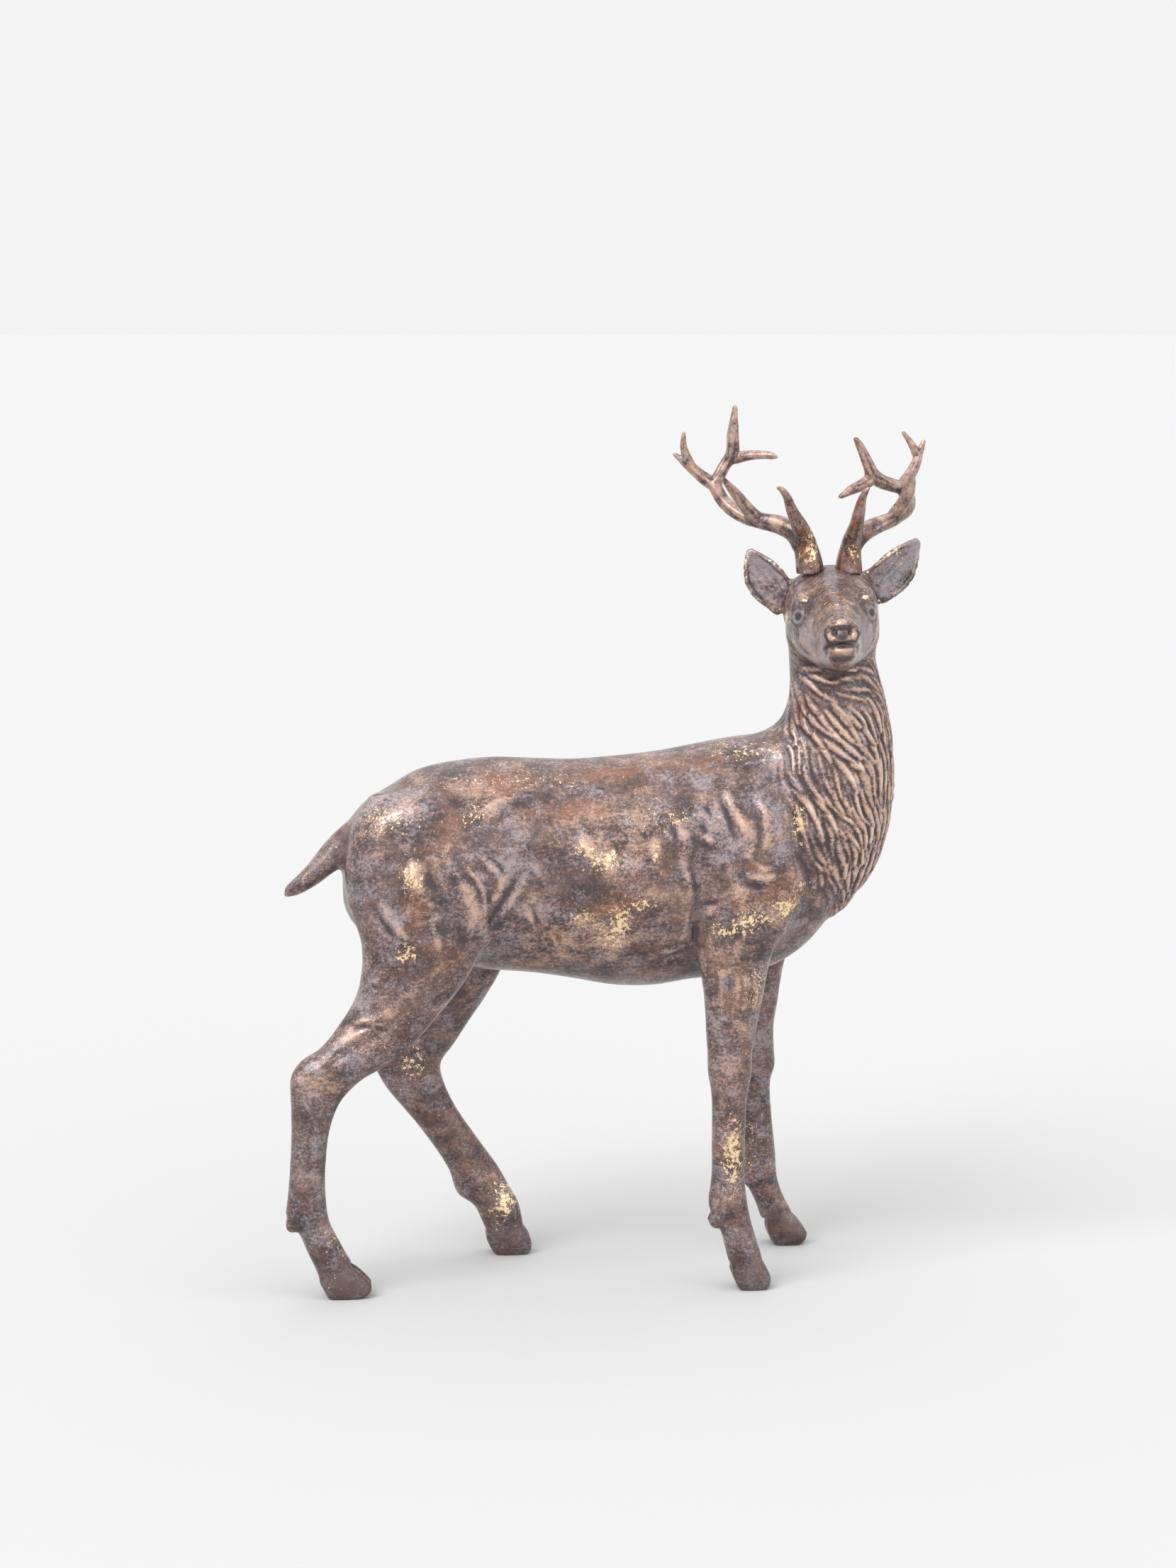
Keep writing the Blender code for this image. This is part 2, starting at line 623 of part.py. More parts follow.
LEG_GROOVES = [
    (1.8, -0.9, "hind_right", [(-154, 104), (-157, 86), (-158, 66), (-157, 52)]),
    (1.8, -0.9, "hind_left", [(-104, 96), (-90, 78), (-78, 62), (-68, 48)]),
    (1.8, -0.8, "fore_right", [(58, 98), (59, 82), (59, 66), (60, 52)]),
    (1.8, -0.8, "fore_left", [(83, 98), (85, 80), (87, 64), (88, 50)]),
]
KNEES = {"fore_right": ((61, -39, 119), (15, 14, 8)), "fore_left": ((84.5, 45, 111), (15, 14, 8)),
         "hind_right": ((-155, -44, 116), (16, 14, 9)), "hind_left": ((-102, 38, 106), (18, 14, 9))}


# The cleft between each hoof's toes: half width, height, and the heights above the floor along it
CLEFT = (1.8, -1.6, (20, 16, 12, 8, 4, 1))
AHEAD = 10


def side_of(leg):
    return -1 if leg.endswith("right") else 1


def carve_body(skin_of):
    for half_width, height, line in FOLDS:
        for side in (-1, 1):
            skin_of.stroke([skin_of.onto(x, z, side) for x, z in line], half_width, height)
    for half_width, height, leg, line in LEG_GROOVES:
        skin_of.stroke([skin_of.onto(x, z, side_of(leg)) for x, z in line], half_width, height)
    for centre, radii in KNEES.values():
        skin_of.dab(centre, radii, 0.7)
    half_width, height, levels = CLEFT
    for leg, outline in HOOVES.items():
        toe = outline[-1][0] + AHEAD
        ahead = [Vector((toe, HOOF_MIDDLES[leg], z)) * MM for z in levels]
        hits = [skin_of.tree.ray_cast(start, Vector((-1, 0, 0)))[0] for start in ahead]
        skin_of.stroke([hit for hit in hits if hit], half_width, height)
    skin_of.finish()


# The face, on the head's own axes. Swellings and hollows that both sides share: middle, half sizes, height
FACE_DABS = [
    ((43, 19.5, 0.2), (8.5, 7, 8), -1.3),
    ((43.5, 19.5, 0.2), (4.4, 6, 4.0), 1.9),
    ((34, 19, 10), (9, 7, 3.5), 0.5),
    ((51, 15, 4), (4, 5, 4), -0.8),
    ((58, 14, -9), (12, 5, 8), -0.6),
    ((30, 22, -14), (12, 8, 9), 0.6),
    ((86, 6.2, -5.0), (4, 2.6, 3.2), 1.2),
    ((88.5, 4.6, -3.6), (3, 1.8, 2.2), -2.2),
    ((84, 8.5, -13), (4, 3, 2.4), -0.6),
]
# And those along the middle line
FACE_MIDDLE_DABS = [
    ((87.5, 0, 1.1), (4, 3.6, 2.2), 1.0),
    ((88.5, 0, -1.8), (4, 6, 1.4), -0.6),
    ((88, 0, -12.8), (4, 6, 1.9), 1.3),
    ((85, 0, -16.2), (5, 7, 1.6), -0.6),
    ((45, 0, 19), (14, 6, 6), -0.8),
]
MOUTH = (1.5, -1.7, [(76, 9.8, -13.8), (81.5, 8.6, -12.4), (85.8, 5.8, -10.4), (88.6, 0, -9.6),
                     (85.8, -5.8, -10.4), (81.5, -8.6, -12.4), (76, -9.8, -13.8)])


def carve_face(skin_of):
    head = head_matrix()
    for centre, radii, height in FACE_DABS:
        for side in (-1, 1):
            skin_of.dab((centre[0], side * centre[1], centre[2]), radii, height, head)
    for centre, radii, height in FACE_MIDDLE_DABS:
        skin_of.dab(centre, radii, height, head)
    half_width, height, line = MOUTH
    path = [skin_of.tree.find_nearest(head @ (Vector(p) * MM))[0] for p in line]
    skin_of.stroke(path, half_width, height)
    skin_of.finish()


# Easing shrinks the forms a little, and the swell gives that back
EASE_ROUNDS = 30
SKIN_SWELL = 0.35


def build_figure(scratch):
    mesh = remeshed(figure_clay(), BODY_VOXEL, scratch)
    eased(mesh, ease_weights(points_of(mesh)), EASE_ROUNDS)
    skin_of = Skin(mesh)
    skin_of.relief[:] = SKIN_SWELL * MM
    skin_of.finish()
    carve_body(skin_of)
    skin_of = Skin(mesh)
    carve_face(skin_of)
    carve_mane(skin_of)
    return mesh


def cut_flat(mesh, place, direction):
    """Takes away what lies beyond a plane and closes the cut with flat faces."""
    bm = bmesh.new()
    bm.from_mesh(mesh)
    geometry = list(bm.verts) + list(bm.edges) + list(bm.faces)
    bmesh.ops.bisect_plane(bm, geom=geometry, plane_co=Vector(place), plane_no=Vector(direction),
                           clear_outer=True, dist=1e-7)
    rim = [e for e in bm.edges if e.is_boundary]
    bmesh.ops.holes_fill(bm, edges=rim, sides=0)
    bmesh.ops.triangulate(bm, faces=[f for f in bm.faces if len(f.verts) > 3])
    bmesh.ops.recalc_face_normals(bm, faces=bm.faces)
    bm.to_mesh(mesh)
    bm.free()


def thinned(mesh, triangles, scratch):
    """The same form with fewer faces, most of them where it bends most."""
    thing = new_object("clay", mesh, scratch)
    modifier = thing.modifiers.new("Thin", "DECIMATE")
    mesh.calc_loop_triangles()
    modifier.ratio = triangles / len(mesh.loop_triangles)
    evaluated = thing.evaluated_get(bpy.context.evaluated_depsgraph_get())
    made = bpy.data.meshes.new_from_object(evaluated)
    bpy.data.objects.remove(thing)
    return made


# Each antler as branches of (x, y, height above the seats, radius). The first branch starts in its seat.
RIGHT_ANTLER = [
    [(105, -17, -6.5, 7.1), (104, -17, 4, 6.9), (101.5, -18, 15.5, 5.7), (99.5, -23, 21, 4.5),
     (92.5, -33, 33, 2.8), (86.5, -39.5, 44, 1.4), (84, -40.5, 45.5, 0.8)],
    [(101, -17, 13.5, 5.4), (96.5, -16, 20.5, 5.0), (91, -13, 24, 4.8), (78.5, -7, 27, 4.0),
     (72.5, -3, 28.5, 3.7), (62.5, 5, 35.5, 3.3), (57.5, 9, 44.5, 3.3)],
    [(77.5, -8, 28, 3.5), (72, -11, 33.5, 3.2), (66.5, -14, 40, 2.7), (58.5, -19, 49, 1.1)],
    [(58.5, 9, 44, 3.3), (53.5, 12, 47, 3.2), (45, 14, 54, 2.5), (37.5, 15, 60, 0.9)],
    [(45, 14, 55, 2.6), (42, 14, 64, 1.6), (42, 14, 71, 0.9)],
    [(58.5, 9, 46, 3.1), (63.5, 10, 55, 2.9), (66.5, 9, 59.5, 3.4), (67, 8, 70.5, 2.9),
     (68, 8, 84.5, 1.1)],
    [(67, 9, 58, 3.0), (76, 2, 60, 2.5), (86, -4, 60, 1.7), (88, -5, 59.5, 1.0)],
]
LEFT_ANTLER = [
    [(125, -17, -6.5, 7.0), (124.5, -17, 3.5, 6.7), (125.5, -19, 15.5, 4.9), (126.5, -30, 27, 3.3),
     (127, -33, 32.5, 2.9), (129, -39.5, 43, 1.4), (130.5, -40.5, 45, 0.8)],
    [(126.5, -17, 14.5, 4.8), (130, -17, 19.5, 5.0), (139, -13, 24, 4.2), (151.5, -4, 28, 3.5),
     (160, 8, 35, 3.4), (157.5, 14, 42, 3.3)],
    [(148.5, -6, 27, 3.4), (156, -12, 40.5, 3.0), (157.5, -17, 52.5, 1.2)],
    [(157, 14, 42, 3.3), (165, 21, 52.5, 2.8), (169, 24, 62, 1.6), (170.5, 24, 66, 0.9)],
    [(166.5, 23, 59, 2.2), (164.5, 24, 63.5, 1.7), (159.5, 24, 70.5, 0.9)],
    [(158.5, 14, 42.5, 3.2), (152, 12, 43.5, 3.3), (141, 8, 49, 3.6), (138.5, 7, 54, 3.0),
     (133, 5, 65, 1.9), (131, 4, 68, 1.1)],
    [(140.5, 8, 47.5, 3.3), (134.5, 5, 44, 2.9), (129, 2, 42, 2.4), (122.5, -1, 38.5, 1.1)],
]
SEATS = {"right": (104.6, -17.0), "left": (125.0, -17.0)}
SEAT_ABOVE_SKULL = 17.3
SEAT_HEIGHT = HEAD_PLACE[2] + SEAT_ABOVE_SKULL
SEAT_RADIUS = 7.5
SEAT_CUT = 20 * MM
ANTLER_SWELL = 0.4
ANTLER_EASE_ROUNDS = 4


def antler_curve(branches):
    """One round rod for each branch, its thickness following the branch's radii."""
    curve = bpy.data.curves.new("antler_curve", "CURVE")
    curve.dimensions = "3D"
    curve.bevel_depth = MM
    curve.bevel_resolution = 3
    curve.resolution_u = 4
    curve.use_fill_caps = True
    for branch in branches:
        spline = curve.splines.new("BEZIER")
        spline.bezier_points.add(len(branch) - 1)
        for point, (x, y, z, radius) in zip(spline.bezier_points, branch):
            point.co = Vector((x, y, SEAT_HEIGHT + z)) * MM
            point.radius = radius
            point.handle_left_type = point.handle_right_type = "AUTO"
    return curve


def build_antler(branches, scratch):
    """The branches with a small ball on each tip, under one skin, cut flat where they meet the head."""
    rods = new_object("antler_rods", antler_curve(branches), scratch)
    bm = bmesh.new()
    bm.from_mesh(bpy.data.meshes.new_from_object(rods.evaluated_get(bpy.context.evaluated_depsgraph_get())))
    bpy.data.objects.remove(rods)
    for x, y, z, radius in (branch[-1] for branch in branches):
        ball(bm, (x, y, SEAT_HEIGHT + z), [radius] * 3)
    mesh = bpy.data.meshes.new("antler_clay")
    bm.to_mesh(mesh)
    bm.free()
    mesh = remeshed(mesh, ANTLER_VOXEL, scratch)
    eased(mesh, np.full(len(mesh.vertices), 0.5), ANTLER_EASE_ROUNDS)
    set_points(mesh, points_of(mesh) + normals_of(mesh) * ANTLER_SWELL * MM)
    mesh = thinned(mesh, ANTLER_TRIANGLES, scratch)
    cut_flat(mesh, (0, 0, SEAT_HEIGHT * MM), (0, 0, -1))
    return mesh


def cut_seats(figure, scratch):
    """A shallow round seat in the top of the head under each antler."""
    for name, (x, y) in SEATS.items():
        bm = bmesh.new()
        radius = SEAT_RADIUS * MM + ANTLER_GAP
        bmesh.ops.create_cone(bm, cap_ends=True, segments=32, radius1=radius, radius2=radius, depth=SEAT_CUT)
        mesh = bpy.data.meshes.new(f"{name}_seat_cutter")
        bm.to_mesh(mesh)
        bm.free()
        cutter = new_object(f"{name}_seat_cutter", mesh, scratch)
        cutter.location = (x * MM, y * MM, SEAT_HEIGHT * MM - ANTLER_GAP + SEAT_CUT / 2)
        cutter.hide_render = True
        cutter.display_type = "WIRE"
        modifier = figure.modifiers.new(f"{name}_seat", "BOOLEAN")
        modifier.operation = "DIFFERENCE"
        modifier.solver = "EXACT"
        modifier.object = cutter


def main():
    clear_scene()
    parts = collection("stag_figurine")
    scratch = collection("clay_and_cutters")
    body = build_figure(scratch)
    body = thinned(body, FIGURE_TRIANGLES, scratch)
    cut_flat(body, (0, 0, FLOOR * MM), (0, 0, -1))
    figure = new_object("figure", body, parts)
    figure.data.materials.append(bronze("antique_bronze"))
    cut_seats(figure, scratch)
    for name, branches in (("right_antler", RIGHT_ANTLER), ("left_antler", LEFT_ANTLER)):
        antler = new_object(name, build_antler(branches, scratch), parts)
        antler.data.materials.append(bronze(f"antique_bronze_{name}"))
    for thing in bpy.data.objects:
        thing.location -= Vector((*MIDDLE, FLOOR)) * MM


main()
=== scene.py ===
"""A standing stag figurine in antique bronze finish, its head turned to its right, as it is made:
the carved figure, the two antlers set in its head, and the paint that covers them.
"""
import math
import random

import bmesh
import bpy
import numpy as np
from mathutils import Matrix, Vector
from mathutils.bvhtree import BVHTree
from mathutils.kdtree import KDTree


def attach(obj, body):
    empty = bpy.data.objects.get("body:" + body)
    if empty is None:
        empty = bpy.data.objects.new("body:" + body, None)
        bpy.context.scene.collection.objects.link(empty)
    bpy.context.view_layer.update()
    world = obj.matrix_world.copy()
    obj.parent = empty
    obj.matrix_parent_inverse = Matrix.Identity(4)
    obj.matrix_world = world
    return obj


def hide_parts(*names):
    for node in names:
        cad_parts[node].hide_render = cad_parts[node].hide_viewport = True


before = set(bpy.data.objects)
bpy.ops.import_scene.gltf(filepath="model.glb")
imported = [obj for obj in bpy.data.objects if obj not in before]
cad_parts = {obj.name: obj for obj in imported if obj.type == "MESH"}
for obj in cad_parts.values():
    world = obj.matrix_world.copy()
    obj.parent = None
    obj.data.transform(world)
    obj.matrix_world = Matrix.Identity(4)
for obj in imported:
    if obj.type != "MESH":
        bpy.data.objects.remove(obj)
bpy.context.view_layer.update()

# The figure is one hollow cast in resin: body, legs, neck, head and ears, from a hand carved master.
# Its forms are lofted and joined under one skin, which is then carved as the master was: muscles and
# folds, the face, short hair in tufts, and the long locks of the mane. Sizes are in millimetres.
MM = 0.001

# The middle of the whole figurine, on the floor, in the frame of the tables below
MIDDLE = Vector((0.84, -14.03, 2)) * MM

# How fine the figure's mesh is while it is carved, how many triangles stay when it is thinned, and how much
# the weights of its points count in that
FIGURE_VOXEL = 0.85 * MM
FIGURE_TRIANGLES = 190000
THIN_FACTOR = 1e-5

# Points around each section, and sections from one row of a table to the next
RING_SIDES = 40
STEPS = 8

# The body, from rump to chest. Each row is a section: (x, z) on the lower outline, (x, z) on the upper one,
# the middle's y, the half width and, where it isn't half way up, where the section is widest
TORSO = [
    (-137.5, 203, -137, 236, 0, 17), (-132.5, 192, -129, 252.5, 0, 30, 0.1),
    (-119, 182, -113, 263.5, 0, 36, 0.1), (-96, 172, -95, 273.5, 0, 39, 0.05),
    (-66, 167, -64, 278.5, 0, 37.5, -0.05), (-41, 165, -41, 278, 0, 38, -0.1),
    (-18, 161.5, -18, 277, 0, 40.5, -0.1), (4, 157.5, 4, 278.5, 0, 42.5, -0.1),
    (25, 157, 25, 280.5, 0, 42.5, -0.05), (46, 160, 45, 284, 0, 40), (68, 161, 64, 287.6, 0, 38),
    (88, 166, 79, 288.6, 0, 36), (106, 177.5, 97, 284, 0, 31), (118, 193, 114, 272, 0, 22),
    (122, 210, 122, 256, 0, 12),
]

# The neck with its mane, from the chest up to the skull: nape, throat, y and half width
NECK = [
    (52, 250, 112, 194, 0, 24), (60, 274, 126, 199, 0, 30), (73, 286, 138.5, 211, 0, 33),
    (85, 291.5, 146.5, 229, -1, 32.5), (92, 297, 150.8, 249, -2, 30.5),
    (94, 303, 151.5, 270, -4, 28), (95.5, 309.5, 149.5, 289, -6, 25.5),
    (95.5, 317, 146.8, 304, -8, 23.2), (95, 325, 143.2, 317, -9, 21.4),
    (95, 336, 140.5, 331, -9, 21), (97, 350, 138, 348, -7, 20),
]

# The head on its own axes, from the back of the skull to the nose: chin, brow, y, half width, widest place
HEAD = [
    (-5, -9, -5, 9, 0, 11), (0, -15, -1, 16, 0, 17, 0.1), (9, -21, 8, 20.8, 0, 21.8, 0.1),
    (20, -26, 19, 21.8, 0, 24.3, 0.1), (32, -28, 31, 20, 0, 23.6),
    (43, -28.5, 42, 16.4, 0, 21.2, -0.05), (53, -27.5, 52, 12.6, 0, 17.6, -0.1),
    (63, -26, 62, 9.2, 0, 13.4, -0.1), (73, -24.5, 72, 6.6, 0, 10, -0.05),
    (81, -22.5, 81, 5, 0, 8.8, 0.05), (86, -19.5, 87, 2.8, 0, 7.2, 0.1),
    (88.5, -13, 89.5, -1.2, 0, 4.2),
]

# The tail, from its root to its tip: underside, top, y and half width
TAIL = [
    (-112, 226, -108, 262, 0, 9), (-127, 226, -121, 257, 0, 10), (-141, 220, -135.5, 245.5, 0, 9),
    (-150, 213.5, -146.5, 234.5, 0, 8), (-158.5, 208.5, -156, 222.5, 0, 6.6),
    (-164.5, 206.5, -162.5, 216, 0, 5), (-168.5, 206, -167.5, 211.5, 0, 3),
]

# The legs from the top down: rear outline, front outline, y and half width
HIND_RIGHT = [
    (-124, 262, -78, 262, -12, 15), (-133, 245, -62, 250, -17, 20),
    (-137, 225, -56, 228, -21.5, 21.5), (-135.5, 205, -59, 203, -25, 20.5),
    (-129, 185, -72, 171, -28, 17.5), (-131.5, 161, -90, 148, -31, 14),
    (-143, 142, -104, 133, -34, 11.5), (-152, 132, -118, 123, -36, 10),
    (-160.4, 127, -129, 117, -37, 9), (-165.5, 119, -138, 109, -37.5, 8.2),
    (-166, 109, -143, 101, -38, 7.6), (-166, 89, -147, 88, -38, 7), (-167, 69, -149, 68, -38, 7),
    (-168.3, 54.5, -148.8, 54.5, -38, 7.8), (-169, 45.2, -148, 46.2, -38, 8),
    (-162.5, 36, -146, 39, -38, 7.6), (-158.8, 27, -141.8, 31, -38, 7.4),
    (-154.6, 18, -138.2, 24, -38, 7.6), (-153, 13, -135.4, 20, -38, 7.4),
]
HIND_LEFT = [
    (-122, 258, -80, 262, 12, 14), (-130, 240, -60, 246, 16, 18), (-130, 218, -50, 218, 20, 19),
    (-124, 195, -44, 188, 24, 17), (-114, 172, -52, 163, 28, 14.5),
    (-113, 150, -61, 146, 31.5, 12.5), (-116, 128, -70, 132, 35, 11),
    (-119, 116, -79, 118, 37, 9.8), (-120, 106, -86, 108, 38, 9), (-114, 94, -84, 97, 39, 8.4),
    (-106, 84, -78, 84, 39, 7.6), (-98, 74, -71, 73, 39.5, 7.2), (-88, 60, -64, 63, 39.5, 7.4),
    (-81, 48, -55, 50, 39.5, 8), (-77, 36, -49, 39, 39.5, 8.2), (-68, 29, -44, 30, 39.5, 7.8),
    (-64, 21, -42, 21, 39.5, 7.8), (-61.5, 15, -40.5, 15, 39.5, 7.6),
]
FORE_RIGHT = [
    (50, 262, 88, 262, -12, 14), (42, 240, 102, 240, -19, 19.5), (40, 216, 104, 213, -23.5, 19),
    (41, 196, 93, 190, -27, 16.5), (44.5, 182, 86, 182, -30, 14), (46, 170, 82, 170, -32.5, 12.5),
    (48, 156, 79, 156, -34.5, 11), (49, 137, 74.5, 136, -37, 9.2), (50, 126, 72.5, 125, -38, 9.2),
    (50.5, 116, 72, 115, -38.5, 9), (52, 103, 70, 102, -39, 7.6), (52, 76, 69, 75, -39.5, 7),
    (52, 62, 69, 61, -39.5, 7.4), (50.5, 47, 70.5, 48, -39.5, 8.2), (55, 38, 72, 40, -39.5, 7.8),
    (58, 29, 74.5, 31, -39.5, 7.6), (60, 21, 77, 23, -39.5, 7.8), (61.5, 15, 79, 17, -39.5, 7.6),
]
FORE_LEFT = [
    (50, 262, 90, 262, 12, 14), (44, 240, 106, 240, 18, 18), (50, 214, 112, 214, 24, 17.5),
    (60, 192, 107, 190, 29, 15), (70, 172, 102.5, 170, 34, 12.5), (74, 157, 99.5, 156, 38, 11),
    (74, 139, 97.5, 138, 42, 9.6), (73, 125, 95.5, 124, 44, 9), (73.5, 111, 95.5, 111, 45, 9),
    (74, 103, 96.5, 102, 45.5, 8.6), (76, 93, 94, 92, 45.5, 7.6), (78, 75, 95, 74, 45.5, 7),
    (79.5, 55, 97, 55, 45.5, 7.2), (79.6, 41, 98, 41, 45.5, 8), (84.2, 31, 100, 33, 45.5, 7.6),
    (87.3, 24, 103, 26, 45.5, 7.8), (90, 16, 107, 19, 45.5, 7.6),
]
FORMS = [TORSO, NECK, TAIL, HIND_RIGHT, HIND_LEFT, FORE_RIGHT, FORE_LEFT]

# Each hoof from its heel to its toe as (x, z of the sole), (x, z of the crown), with its middle's y
HOOVES = {
    "hind_right": [(-149.5, 6, -152.8, 11.5), (-147.3, 1.6, -151.3, 16.8), (-141.8, 0.6, -143.3, 20),
                   (-134.8, 0.8, -135, 18.3), (-128.8, 2.6, -128.9, 13.2), (-125.6, 5.2, -125.2, 9)],
    "hind_left": [(-58.5, 5, -62, 12), (-56, 1.6, -60, 18), (-50.5, 0.6, -50.5, 21),
                  (-44, 0.6, -44, 19), (-39.5, 1.4, -39.5, 14.5), (-37, 4, -36.8, 9)],
    "fore_right": [(65, 5, 62, 12), (67, 1.6, 63.5, 18), (72, 0.6, 71, 21),
                   (77, 0.6, 76.5, 19), (80.7, 1.4, 80.4, 14), (82.6, 4.5, 82.9, 8.8)],
    "fore_left": [(94.5, 5.5, 92, 12), (97.5, 1.6, 94, 18), (103, 0.6, 102, 21),
                  (108, 0.8, 107, 18.5), (112, 2.6, 111.7, 13), (114.3, 5.5, 114.8, 8.8)],
}
HOOF_MIDDLES = {"hind_right": -38, "hind_left": 39.5, "fore_right": -39.5, "fore_left": 45.5}
TOE_SPREAD = 4.2
TOE_HALF_WIDTHS = (3.2, 4.3, 4.7, 4.5, 3.7, 2.3)

# Dewclaws hang in pairs behind each pastern: x and z of their middle
DEWCLAWS = {"hind_right": (-166.2, 41), "hind_left": (-73, 38), "fore_right": (53.8, 38.6),
            "fore_left": (83.4, 38)}
DEWCLAW_RADII = (3.8, 2.6, 4.2)
DEWCLAW_SPREAD = 3.0

# Muscles that swell the skin: middle, half sizes and turn in degrees
MUSCLES = [
    ((74, -27, 232), (22, 13, 33), (0, 18, 0)), ((74, 27, 232), (22, 13, 33), (0, 18, 0)),
    ((-100, -27, 236), (28, 13, 26), (0, -20, 0)), ((-100, 27, 236), (28, 13, 26), (0, -20, 0)),
    ((10, -24, 214), (46, 20, 38), (0, 0, 0)), ((10, 24, 214), (46, 20, 38), (0, 0, 0)),
    ((124, -2, 202), (6, 7, 13), (0, 30, 0)), ((102, 0, 183), (8, 10, 6), (0, -50, 0)),
]

# The head's own frame, at the back of the skull: x forward, y to the stag's left, z up
HEAD_PLACE = (117.4, 6.5, 357.3)
HEAD_YAW, HEAD_PITCH, HEAD_ROLL = -94.2, 2.6, 3.0


def head_matrix():
    """From the head's own axes to the table."""
    place = Matrix.Translation(Vector(HEAD_PLACE) * MM)
    turned = Matrix.Rotation(math.radians(HEAD_YAW), 4, "Z")
    nodded = Matrix.Rotation(math.radians(HEAD_PITCH), 4, "Y")
    tilted = Matrix.Rotation(math.radians(HEAD_ROLL), 4, "X")
    return place @ turned @ nodded @ tilted


def on_axes(points, matrix):
    """The points in millimetres on the axes of the matrix."""
    return (np.linalg.inv(np.array(matrix)) @ np.c_[points, np.ones(len(points))].T)[:3].T / MM


# Lumps of clay on both sides of the face: brow, cheek, nostril, lip and eye, with middle and half sizes
FACE_BALLS = [
    ((35, 15.5, 8), (12, 5, 5)), ((24, 14.5, -12), (15, 9.5, 14)),
    ((82, 4.8, -2.8), (5.5, 4.0, 4.6)), ((76, 6.2, -11.5), (9, 3.4, 4)),
    ((43, 15.6, 0.2), (5.8, 4.6, 4.8)),
]

# Each ear: root, middle, tip, a point that its hollow faces, half width and the depth of its cup
EARS = {
    "right": ((97, -8, 358.0), (82.6, -6, 371.2), (74.2, -2, 386.5), (70, -90, 350), 10.4, 6.0),
    "left": ((134, -8, 364), (150.2, -6, 375.6), (163.8, -2, 391), (165, -90, 352), 11.4, 6.0),
}
# Along each ear: share of the way to its tip, of its half width and of its cup. Then how thick it is, and
# how many points there are across each face of it.
EAR_OUTLINE = [(0.0, 1.02, 0.5), (0.2, 1.0, 0.8), (0.42, 1.0, 1.0), (0.62, 0.88, 0.9),
               (0.78, 0.66, 0.65), (0.9, 0.4, 0.35), (1.0, 0.16, 0.1)]
EAR_THICKNESS = 3.4
EAR_SIDES = 9


def smooth_rows(table, steps=STEPS):
    """Rows of a table with more rows between them, on a Catmull-Rom curve through each column."""
    rows = np.array(table, float)
    padded = np.vstack([2 * rows[0] - rows[1], rows, 2 * rows[-1] - rows[-2]])
    out = []
    for i in range(1, len(padded) - 2):
        a, b, c, d = padded[i - 1:i + 3]
        for t in np.linspace(0, 1, steps, endpoint=False):
            out.append(0.5 * (2 * b + (c - a) * t + (2 * a - 5 * b + 4 * c - d) * t ** 2
                              + (3 * b - a - 3 * c + d) * t ** 3))
    out.append(rows[-1])
    return np.array(out)


def skin(bm, rings, matrix=Matrix.Identity(4)):
    """Faces between closed rings of as many points each, with a fan over each end."""
    loops = [[bm.verts.new(matrix @ (Vector(p) * MM)) for p in ring] for ring in rings]
    count = len(loops[0])
    for low, high in zip(loops, loops[1:]):
        for i in range(count):
            j = (i + 1) % count
            bm.faces.new((low[i], low[j], high[j], high[i]))
    for loop in (loops[0][::-1], loops[-1]):
        centre = sum((v.co for v in loop), Vector()) / count
        tip = bm.verts.new(centre)
        for i in range(count):
            bm.faces.new((loop[i], loop[(i + 1) % count], tip))


def oval_rings(stations, steps=STEPS):
    """Rings of a limb from its outline as seen from the side.

    A station is (x, z) on the rear or lower outline, (x, z) on the front or upper one, the middle's y, the
    half width, and how far towards the front or top it is widest, from -1 to 1, or nothing for the middle.
    """
    rings = []
    rows = [(*row, 0)[:7] for row in stations]
    for xb, zb, xf, zf, y, half, shift in smooth_rows(rows, steps):
        ring = []
        for i in range(RING_SIDES):
            angle = 2 * math.pi * i / RING_SIDES
            c, s = math.cos(angle), math.sin(angle)
            along = 0.5 + 0.5 * (c + shift * s * s)
            ring.append((xb + (xf - xb) * along, y + half * s, zb + (zf - zb) * along))
        rings.append(ring)
    return rings


BALL_RINGS = 12
BALL_TURNS = [2 * math.pi * i / 20 for i in range(20)]


def ball(bm, centre, radii, matrix=Matrix.Identity(4), turn=(0, 0, 0)):
    """An ellipsoid with its half sizes along its own axes, turned by degrees about X, Y and Z."""
    place = matrix @ Matrix.Translation(Vector(centre) * MM)
    for degrees, axis in zip(turn, "XYZ"):
        place = place @ Matrix.Rotation(math.radians(degrees), 4, axis)
    rings = []
    for i in range(1, BALL_RINGS):
        down = math.pi * i / BALL_RINGS
        across, level = math.sin(down), radii[2] * math.cos(down)
        rings.append([(radii[0] * across * math.cos(a), radii[1] * across * math.sin(a), level)
                      for a in BALL_TURNS])
    skin(bm, rings, place)


def ear_axes(root, middle, tip, faces, t):
    """The middle of an ear at t of the way to its tip, and the ways across it and out of its hollow."""
    root, middle, tip = Vector(root), Vector(middle), Vector(tip)
    centre = root * (1 - t) ** 2 + (middle * 2 - (root + tip) / 2) * (2 * t * (1 - t)) + tip * t ** 2
    along = (tip - root).lerp(tip - middle, t).normalized()
    out = Vector(faces) - centre
    out = (out - along * out.dot(along)).normalized()
    return centre, along.cross(out), out


